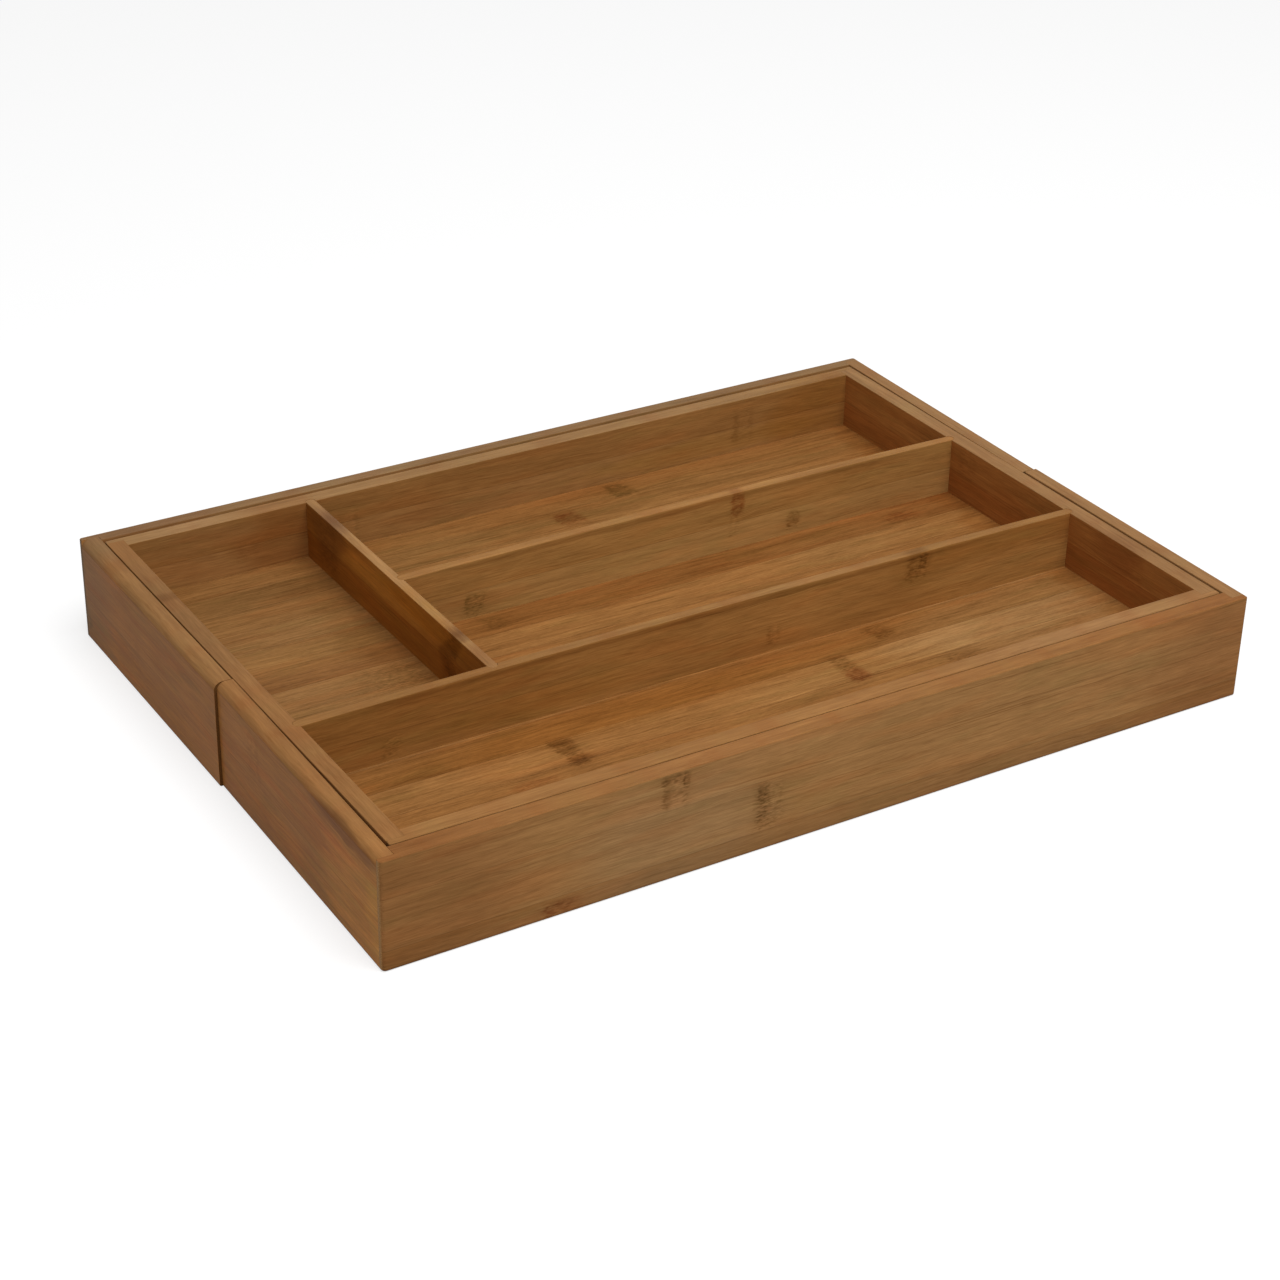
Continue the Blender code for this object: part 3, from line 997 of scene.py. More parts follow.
@dataclass
class Wing(Assembly):
    """A U-shaped wing: a long wall, two returns with the guide grooves, a floor and two stops."""

    forward: int
    wall_board: float
    left_board: float
    left_toe_in: float
    right_toe_in: float
    right_board: float = 7.3
    half_x: float = 225.0
    half_y: float = 160.0
    board: float = 8.0
    seam: float = 0.06
    left_seam_place: float = 0.9
    right_seam_place: float = -1.7
    floor_low: float = 5.0
    floor_top: float = 10.0
    groove_reach: float = 221.4
    groove_low: float = 28.45
    groove_high: float = 34.65
    stop_end: float = 8.0
    stop_arris: float = 0.25
    arris: float = 0.35
    glue_gap: float = 0.3

    def at(self, x: float, y: float, z: float) -> Place:
        """A place with y counted outwards from the middle."""
        return (x, self.forward * y, z)

    def thickness(self, outward: int) -> float:
        """How thick the return on one side is."""
        return self.right_board if outward > 0 else self.left_board

    def build(self, outside: bpy.types.Object, crisp_outside: bpy.types.Object) -> None:
        """Makes the wing's six pieces.

        Args:
            outside: The closed tray's outside, to saw the returns from.
            crisp_outside: The same with all its top edges crisp, for the long wall.
        """
        self.long_wall(crisp_outside)
        for side, outward in (("left", -1), ("right", 1)):
            self.arm(outside, side, outward)
            self.stop(side, outward)
        self.floor()

    def floor_slot(self, piece: bpy.types.Object) -> None:
        """Cuts the groove that houses the floor.

        Args:
            piece: The board to cut.
        """
        reach = self.half_x - self.board + self.housing
        depth = self.half_y - self.board + self.housing
        bench.carve_box(
            piece,
            self.at(-reach, -self.board, self.floor_low - self.hairline),
            self.at(reach, depth, self.floor_top + self.hairline),
        )

    def long_wall(self, outside: bpy.types.Object) -> None:
        """The long wall, whose ends lap over the returns.

        Args:
            outside: The closed tray's outside.
        """
        inner = self.half_y - self.wall_board
        wall = bench.copy(outside, f"{self.body}_wall_board")
        bench.saw(wall, self.at(0.0, inner, 0.0), self.at(0.0, -1.0, 0.0))
        self.ease_rim(wall, 0, inner)
        for outward in (-1, 1):
            inside = self.half_x - self.thickness(outward) - self.hairline
            outside_x = self.half_x + self.board
            bench.carve_box(
                wall,
                self.at(outward * inside, 0.0, -self.board),
                self.at(outward * outside_x, self.half_y - self.lap, self.top + self.board),
            )
        self.floor_slot(wall)
        self.give(wall, "wall", "wing_bamboo")

    def ease_rim(self, board: bpy.types.Object, axis: int, inner: float) -> None:
        """Rounds the inner edge of a board's rim.

        Args:
            board: The long wall or a return.
            axis: The axis that the board runs along, 0 or 1.
            inner: How far its inner face is from the middle.
        """

        def on_edge(middle: Vector, way: Vector) -> bool:
            """An edge between the rim and the inner face."""
            on_face = abs(abs(middle[1 - axis]) - inner) < NEAR
            return way[axis] > ALONG and on_face and middle.z > self.top - NEAR

        bench.round_over(board, self.arris, 3, on_edge)

    def arm(self, outside: bpy.types.Object, side: str, outward: int) -> None:
        """A return: the short board along one side, with the groove for the tray's guide.

        Args:
            outside: The closed tray's outside.
            side: Which side, in words.
            outward: -1 on the left and 1 on the right.
        """
        inner = self.half_x - self.thickness(outward)
        end = self.half_y - self.lap - self.hairline
        start = self.seam_end(outward)
        arm = bench.copy(outside, f"{self.body}_{side}_return_board")
        bench.saw(arm, (outward * inner, 0.0, 0.0), (-outward, 0.0, 0.0))
        bench.saw(arm, self.at(0.0, start, 0.0), self.at(0.0, -1.0, 0.0))
        bench.saw(arm, self.at(0.0, end, 0.0), self.at(0.0, 1.0, 0.0))
        self.ease_rim(arm, 1, inner)
        seam = self.forward * start
        bench.round_over(arm, self.arris / 2, 2, lambda middle, way: abs(middle.y - seam) < NEAR)
        bench.carve_box(
            arm,
            self.at(outward * (inner - self.board), -self.board, self.groove_low),
            self.at(outward * self.groove_reach, self.half_y - self.board, self.groove_high),
        )
        self.floor_slot(arm)
        self.lean(arm, outward)
        self.give(arm, f"{side}_return", "wing_bamboo")

    def seam_end(self, outward: int) -> float:
        """How far out a return starts: the right seam lies a little forward of the left one."""
        place = self.right_seam_place if outward > 0 else self.left_seam_place
        return self.seam + self.forward * place

    def lean(self, piece: bpy.types.Object, outward: int) -> None:
        """Turns a return or its stop so that the free end toes in, as the glued boards do.

        Args:
            piece: The return or its stop.
            outward: -1 on the left and 1 on the right.
        """
        toe_in = self.right_toe_in if outward > 0 else self.left_toe_in
        angle = math.asin(toe_in / (self.half_y - self.lap))
        pivot = self.at(outward * self.half_x, self.half_y - self.lap, 0.0)
        bench.turn(piece, -self.forward * outward * angle, pivot)

    def stop(self, side: str, outward: int) -> None:
        """The small block that closes a groove at the seam.

        Args:
            side: Which side, in words.
            outward: -1 on the left and 1 on the right.
        """
        inner = self.half_x - self.thickness(outward)
        tip = self.groove_reach - self.hairline
        start = self.seam_end(outward)
        block = bench.block(
            f"{self.body}_{side}_stop_board",
            self.at(outward * inner, start, self.groove_low + self.hairline),
            self.at(outward * tip, self.stop_end, self.groove_high - self.hairline),
        )
        bench.round_over(block, self.stop_arris, 2, lambda middle, way: True)
        self.lean(block, outward)
        self.give(block, "stop", "guide_bamboo")

    def floor(self) -> None:
        """The wing's floor of glued strips, housed in the long wall and the returns."""
        reach = self.half_x - self.board + self.housing - self.glue_gap
        depth = self.half_y - self.board + self.housing - self.glue_gap
        floor = bench.block(
            f"{self.body}_floor_board",
            self.at(-reach, self.seam, self.floor_low), self.at(reach, depth, self.floor_top),
        )
        finish = self.finishes["floor"]
        groove_strips(floor, finish, (self.seam * self.forward, depth * self.forward), self.floor_top)
        self.give(floor, "floor", "floor_bamboo")


# The hairline between two strips of a floor and the round of its long edges
STRIP_GROOVE_WIDTH = 0.16
STRIP_GROOVE_DEPTH = 0.10
FLOOR_ARRIS = 0.3


def groove_strips(floor: bpy.types.Object, finish: Bamboo, span: tuple[float, float], top: float) -> None:
    """Sinks a hairline between the glued strips of a floor.

    Args:
        floor: The floor's mesh, a plain board.
        finish: Its bamboo, which says where the strips meet.
        span: Where the floor starts and ends in Y.
        top: The height of its upper face.
    """
    low, high = sorted(span)
    first = math.ceil((low + 1 - finish.first_strip) / finish.strip_width)
    last = math.floor((high - 1 - finish.first_strip) / finish.strip_width)
    lines = [finish.first_strip + index * finish.strip_width for index in range(first, last + 1)]
    bench.score(floor, [(0.0, line, 0.0) for line in lines], (0.0, 1.0, 0.0))

    def on_line(middle: Vector, way: Vector) -> bool:
        """An edge of the upper face that lies on a glue line."""
        on_top = way.x > ALONG and middle.z > top - NEAR
        return on_top and any(abs(middle.y - line) < NEAR for line in lines)

    def at_end(middle: Vector, way: Vector) -> bool:
        """An edge along the front or the back of the floor."""
        return way.x > ALONG and min(abs(middle.y - low), abs(middle.y - high)) < NEAR

    bench.round_over(floor, STRIP_GROOVE_WIDTH, 2, on_line)
    with bench.editing(floor, Element.EDGE):
        bench.pick(floor, Element.EDGE, on_line)
        bpy.ops.transform.translate(value=(0.0, 0.0, -STRIP_GROOVE_DEPTH * MM))
    bench.round_over(floor, FLOOR_ARRIS, 2, at_end)


def upright(middle: Vector, way: Vector) -> bool:
    """An edge that stands upright."""
    return way.z > ALONG


@dataclass
class MiddleTray(Assembly):
    """The tray that stays put: four walls, a floor of glued strips, three dividers and four guides."""

    outer_x: float = 216.0
    outer_y: float = 150.5
    rest_x: float = 0.3
    rest_y: float = 0.3
    board: float = 8.4
    foot: float = 10.4
    floor_low: float = 18.0
    floor_top: float = 23.0
    rim_round: float = 0.35
    corner_round: float = 0.6
    foot_round: float = 0.3
    divider: float = 5.0
    wall_housing: float = 2.5
    cross_housing: float = 1.1
    middle_housing: float = 2.0
    run_out: float = 30.0
    floor_play: float = 0.15
    front_divider_y: float = -50.2
    middle_divider_y: float = 46.7
    cross_divider_x: float = -114.4
    front_bow: float = 2.4
    middle_bow: float = 2.1
    end_round: float = 2.2
    columns: int = 16
    guide_length: float = 30.0
    guide_low: float = 28.85
    guide_high: float = 34.25
    guide_seat: float = 2.2
    guide_tip: float = 219.4
    guide_round: float = 0.4

    def at(self, x: float, y: float, z: float) -> Place:
        """A place counted from the tray's middle, which rests a little to the right and to the back."""
        return (x + self.rest_x, y + self.rest_y, z)

    @property
    def inner_x(self) -> float:
        """Half the clear length."""
        return self.outer_x - self.board

    @property
    def inner_y(self) -> float:
        """Half the clear depth."""
        return self.outer_y - self.board

    def build(self) -> None:
        """Makes the tray's twelve pieces."""
        ring = self.ring()
        self.side_wall(ring, "left", -1)
        self.side_wall(ring, "right", 1)
        bench.scrap(ring)
        self.end_wall("front", -1)
        self.end_wall("back", 1)
        self.floor()
        self.long_dividers()
        self.cross_divider()
        self.guides()

    def ring(self) -> bpy.types.Object:
        """The four walls in one piece with their rims eased, to saw the short walls from.

        Returns:
            The ring.
        """
        low = self.at(-self.outer_x, -self.outer_y, self.foot)
        ring = bench.block("tray_ring", low, self.at(self.outer_x, self.outer_y, self.top))
        bench.round_over(ring, self.corner_round, 3, upright)
        bench.carve_box(
            ring,
            self.at(-self.inner_x, -self.inner_y, self.foot - self.board),
            self.at(self.inner_x, self.inner_y, self.top + self.board),
        )
        self.ease(ring)
        return ring

    def ease(self, piece: bpy.types.Object) -> None:
        """Rounds the edges of rim and foot."""
        bench.round_over(piece, self.rim_round, 4, lambda middle, way: middle.z > self.top - NEAR)
        bench.round_over(piece, self.foot_round, 2, lambda middle, way: middle.z < self.foot + NEAR)

    def floor_slot(self, wall: bpy.types.Object) -> None:
        """Cuts the groove that houses the floor.

        Args:
            wall: The wall to cut.
        """
        reach_x = self.inner_x + self.housing
        reach_y = self.inner_y + self.housing
        bench.carve_box(
            wall,
            self.at(-reach_x, -reach_y, self.floor_low - self.hairline),
            self.at(reach_x, reach_y, self.floor_top + self.hairline),
        )

    def dado(self, piece: bpy.types.Object, low: tuple[float, float], high: tuple[float, float]) -> None:
        """Cuts the round-ended housing of a divider, open at the top.

        Args:
            piece: The wall or divider to cut.
            low: The housing's lowest x and y, world places.
            high: Its highest.
        """
        tool = bench.block(
            "tool",
            (low[0] - self.hairline, low[1] - self.hairline, self.floor_top),
            (high[0] + self.hairline, high[1] + self.hairline, self.top + self.board),
        )
        bench.round_over(tool, self.end_round, 6, upright)
        bench.carve(piece, tool)

    def side_wall(self, ring: bpy.types.Object, side: str, outward: int) -> None:
        """A short wall between the laps of the long ones.

        Args:
            ring: The four walls in one piece.
            side: Which side, in words.
            outward: -1 on the left and 1 on the right.
        """
        end = self.outer_y - self.lap - self.hairline
        wall = bench.copy(ring, f"tray_{side}_wall_board")
        bench.saw(wall, self.at(outward * (self.inner_x + self.hairline), 0.0, 0.0), (-outward, 0.0, 0.0))
        for forward in (-1, 1):
            bench.saw(wall, self.at(0.0, forward * end, 0.0), (0.0, forward, 0.0))
        self.floor_slot(wall)
        reach = self.rest_x + outward * (self.inner_x + self.wall_housing)
        back = self.rest_x + outward * (self.inner_x - self.run_out)
        fronts = [self.front_divider_y]
        if outward > 0:
            fronts.append(self.middle_divider_y)
        for front in fronts:
            self.dado(wall, (min(reach, back), front), (max(reach, back), front + self.divider))
        for forward in (-1, 1):
            bench.carve_box(
                wall,
                self.at(
                    outward * (self.outer_x - self.guide_seat), forward * (end - self.guide_length),
                    self.guide_low - self.hairline,
                ),
                self.at(outward * (self.outer_x + self.board), forward * (end + self.board),
                        self.guide_high + self.hairline),
            )
        self.give(wall, f"{side}_wall", "tray_bamboo")

    def end_wall(self, end: str, forward: int) -> None:
        """A long wall, whose ends lap over the short walls.

        Args:
            end: Which end, in words.
            forward: -1 in front and 1 behind.
        """
        wall = bench.block(
            f"tray_{end}_wall_board",
            self.at(-self.outer_x, forward * self.inner_y, self.foot),
            self.at(self.outer_x, forward * self.outer_y, self.top),
        )
        lap = self.outer_y - self.lap
        bench.round_over(
            wall, self.corner_round, 3, lambda middle, way: way.z > ALONG and abs(middle.y) > lap,
        )
        self.ease(wall)
        for outward in (-1, 1):
            bench.carve_box(
                wall,
                self.at(outward * self.inner_x, 0.0, self.foot - self.board),
                self.at(outward * (self.outer_x + self.board), forward * lap, self.top + self.board),
            )
        self.floor_slot(wall)
        if forward > 0:
            left = self.cross_divider_x
            reach = self.inner_y + self.wall_housing + self.rest_y
            self.dado(wall, (left, reach - self.run_out), (left + self.divider, reach))
        self.give(wall, f"{end}_wall", "tray_bamboo")

    def floor(self) -> None:
        """The floor of glued strips, housed in the walls all round."""
        reach_x = self.inner_x + self.housing - self.floor_play
        reach_y = self.inner_y + self.housing - self.floor_play
        low = self.at(-reach_x, -reach_y, self.floor_low)
        floor = bench.block("tray_floor_board", low, self.at(reach_x, reach_y, self.floor_top))
        span = (self.rest_y - reach_y, self.rest_y + reach_y)
        groove_strips(floor, self.finishes["floor"], span, self.floor_top)
        self.give(floor, "floor", "floor_bamboo")

    def bow(self, piece: bpy.types.Object, left: float, right: float, reach: float) -> None:
        """Bows a divider's top backwards between its ends, while its foot stays straight.

        Args:
            piece: The divider, still a plain board.
            left: Where it starts in X.
            right: Where it ends.
            reach: How far the middle of its top leans back.
        """
        middle_x = (left + right) / 2
        half = (right - left) / 2
        lines = [left + (right - left) * index / self.columns for index in range(1, self.columns)]
        rim = self.top - NEAR
        bench.score(piece, [(line, 0.0, 0.0) for line in lines], (1.0, 0.0, 0.0))
        with bench.editing(piece, Element.VERT):
            for line in lines:
                bench.pick(
                    piece, Element.VERT,
                    lambda middle, way, line=line: abs(middle.x - line) < NEAR and middle.z > rim,
                )
                lean = reach * (1 - ((line - middle_x) / half) ** 2)
                bpy.ops.transform.translate(value=(0.0, lean * MM, 0.0))

    def divider_board(self, name: str, low: Place, high: Place) -> bpy.types.Object:
        """A thin board with round ends.

        Args:
            name: The object's name.
            low: Its lowest corner.
            high: Its highest corner.

        Returns:
            The board.
        """
        piece = bench.block(name, low, high)
        bench.round_over(piece, self.end_round, 6, upright)
        return piece

    def ease_divider(self, piece: bpy.types.Object) -> None:
        """Rounds a divider's top edges.

        Args:
            piece: The divider.
        """
        rim = self.top - NEAR
        bench.round_over(
            piece, self.rim_round, 3,
            lambda middle, way: middle.z > rim and way.z < LEVEL and self.is_rim(piece, middle),
        )

    def is_rim(self, piece: bpy.types.Object, middle: Vector) -> bool:
        """Whether an edge of the top lies on its outline, not across it.

        Args:
            piece: The divider, in edit mode.
            middle: The edge's middle in millimetres.

        Returns:
            Whether it does.
        """
        form = bmesh.from_edit_mesh(piece.data)
        for edge in form.edges:
            centre = (edge.verts[0].co + edge.verts[1].co) / 2
            if (centre / MM - middle).length < NEAR / 10:
                return any(abs(face.normal.z) < LEVEL for face in edge.link_faces)
        return False

    def long_dividers(self) -> None:
        """The front divider, from wall to wall, and the middle one, from the cross divider to the right."""
        right = self.rest_x + self.inner_x + self.wall_housing
        left = self.rest_x - self.inner_x - self.wall_housing
        cross = self.cross_divider_x
        cross_right = cross + self.divider
        for name, start, front, reach in (
            ("front_divider", left, self.front_divider_y, self.front_bow),
            ("middle_divider", cross_right - self.middle_housing, self.middle_divider_y, self.middle_bow),
        ):
            back = front + self.divider
            low, high = (start, front, self.floor_top), (right, back, self.top)
            piece = self.divider_board(f"{name}_board", low, high)
            self.bow(piece, start, right, reach)
            self.ease_divider(piece)
            if start < cross:
                self.dado(piece, (cross, back - self.cross_housing), (cross_right, back + self.run_out))
            self.give(piece, name, "divider_bamboo")

    def cross_divider(self) -> None:
        """The divider from the back wall to the front divider."""
        left = self.cross_divider_x
        front = self.front_divider_y + self.divider - self.cross_housing
        back = self.inner_y + self.wall_housing + self.rest_y
        piece = self.divider_board(
            "cross_divider_board", (left, front, self.floor_top), (left + self.divider, back, self.top),
        )
        self.ease_divider(piece)
        right = left + self.divider
        low = (right - self.middle_housing, self.middle_divider_y)
        self.dado(piece, low, (right + self.run_out, self.middle_divider_y + self.divider))
        self.give(piece, "cross_divider", "divider_bamboo")

    def guides(self) -> None:
        """The four tongues on the side walls, which run in the wings' grooves."""
        end = self.outer_y - self.lap - self.hairline
        for word, forward in (("front", -1), ("rear", 1)):
            for side, outward in (("left", -1), ("right", 1)):
                guide = bench.block(
                    f"{word}_{side}_guide_board",
                    self.at(
                        outward * (self.outer_x - self.guide_seat + self.hairline),
                        forward * (end - self.guide_length + self.hairline), self.guide_low,
                    ),
                    self.at(outward * self.guide_tip, forward * end, self.guide_high),
                )
                outside = self.outer_x + 1
                bench.round_over(guide, self.guide_round, 3, lambda middle, way: abs(middle.x) > outside)
                self.give(guide, "guide", "guide_bamboo")


# The wood of faces and rims, with a painted highlight in the front divider's rim, and how dark end grain is
# next to them
WING_FACE = (0.373, 0.193, 0.069)
LEFT_FACE = (0.350, 0.148, 0.042)
INSIDE_FACE = (0.356, 0.178, 0.061)
DIVIDER_FACE = (0.350, 0.166, 0.046)
MIDDLE_FACE = (0.407, 0.222, 0.073)
CROSS_FACE = (0.335, 0.132, 0.023)
RIGHT_FACE = (0.352, 0.142, 0.036)
FLOOR_FACE = (0.290, 0.130, 0.038)
FRONT_RIM = (0.302, 0.139, 0.045)
# The front divider's top edge: its wood, lightened and yellowed by a painted highlight
DIVIDER_RIM_AND_HIGHLIGHT = (0.298, 0.147, 0.049)
CROSS_RIM = (0.333, 0.178, 0.070)
LEFT_RIM = (0.275, 0.130, 0.045)
WING_RIM = (0.300, 0.142, 0.049)
REAR_LEFT_RIM = (0.288, 0.144, 0.052)
REAR_RIM = (0.252, 0.142, 0.063)
PALE_RIM = (0.304, 0.160, 0.065)
BACK_FACE = (0.366, 0.190, 0.064)
BACK_RIM = (0.322, 0.178, 0.072)
TRAY_FRONT_RIM = (0.311, 0.149, 0.050)
MIDDLE_RIM = (0.344, 0.168, 0.054)
HIDDEN_FACE = (0.380, 0.200, 0.080)
END_GRAIN_TONE = 0.45


def painted_foot_shade(reach: float) -> DarkFibreAndShadeLine:
    """A line of painted shade along the foot of a wing's board, as far as a place on both sides of the
    middle.
    """
    return DarkFibreAndShadeLine(-reach, reach, 0.2, 0, 1.5, 0.6)


def hidden(seed: float) -> Bamboo:
    """Plain bamboo for the guides and stops, which the boards hide."""
    return Bamboo(Grain.DEEP_UPRIGHT, HIDDEN_FACE, HIDDEN_FACE, 20, 20, seed=seed)


def right_return(scar_at: float, seed: float) -> Bamboo:
    """A right return, of which the photograph shows the rim only.

    Args:
        scar_at: Where its one scar is along it.
        seed: The figure's seed.

    Returns:
        The finish.
    """
    scar = NodeScar(scar_at, 31, 12, 26, 0.9, Stain.BROWN, 0.8)
    canes = (Cane.HONEY, Cane.AMBER, Cane.HONEY)
    upright = Grain.DEEP_UPRIGHT
    return Bamboo(upright, WING_FACE, PALE_RIM, -8, 26, canes, (scar,), seed=seed, end_tone=END_GRAIN_TONE)


def wing_floor(
    first_strip: float,
    canes: tuple[Cane, ...],
    brown: tuple[float, float],
    red: tuple[float, float],
    seed: float,
) -> Bamboo:
    """A wing's floor.

    Args:
        first_strip: Where its first strip starts.
        canes: The strips' tones.
        brown: Where its brown scar is, along and across.
        red: Where its red scar is.
        seed: The figure's seed.

    Returns:
        The finish.
    """
    scars = (
        NodeScar(*brown, 12, 20, 0.8, Stain.BROWN, 0.6, 0.2),
        NodeScar(*red, 12, 20, 0.8, Stain.RED, 0.6, -0.2),
    )
    return Bamboo(Grain.LONG_FLAT, FLOOR_FACE, FRONT_RIM, first_strip, 20, canes, scars, seed=seed)


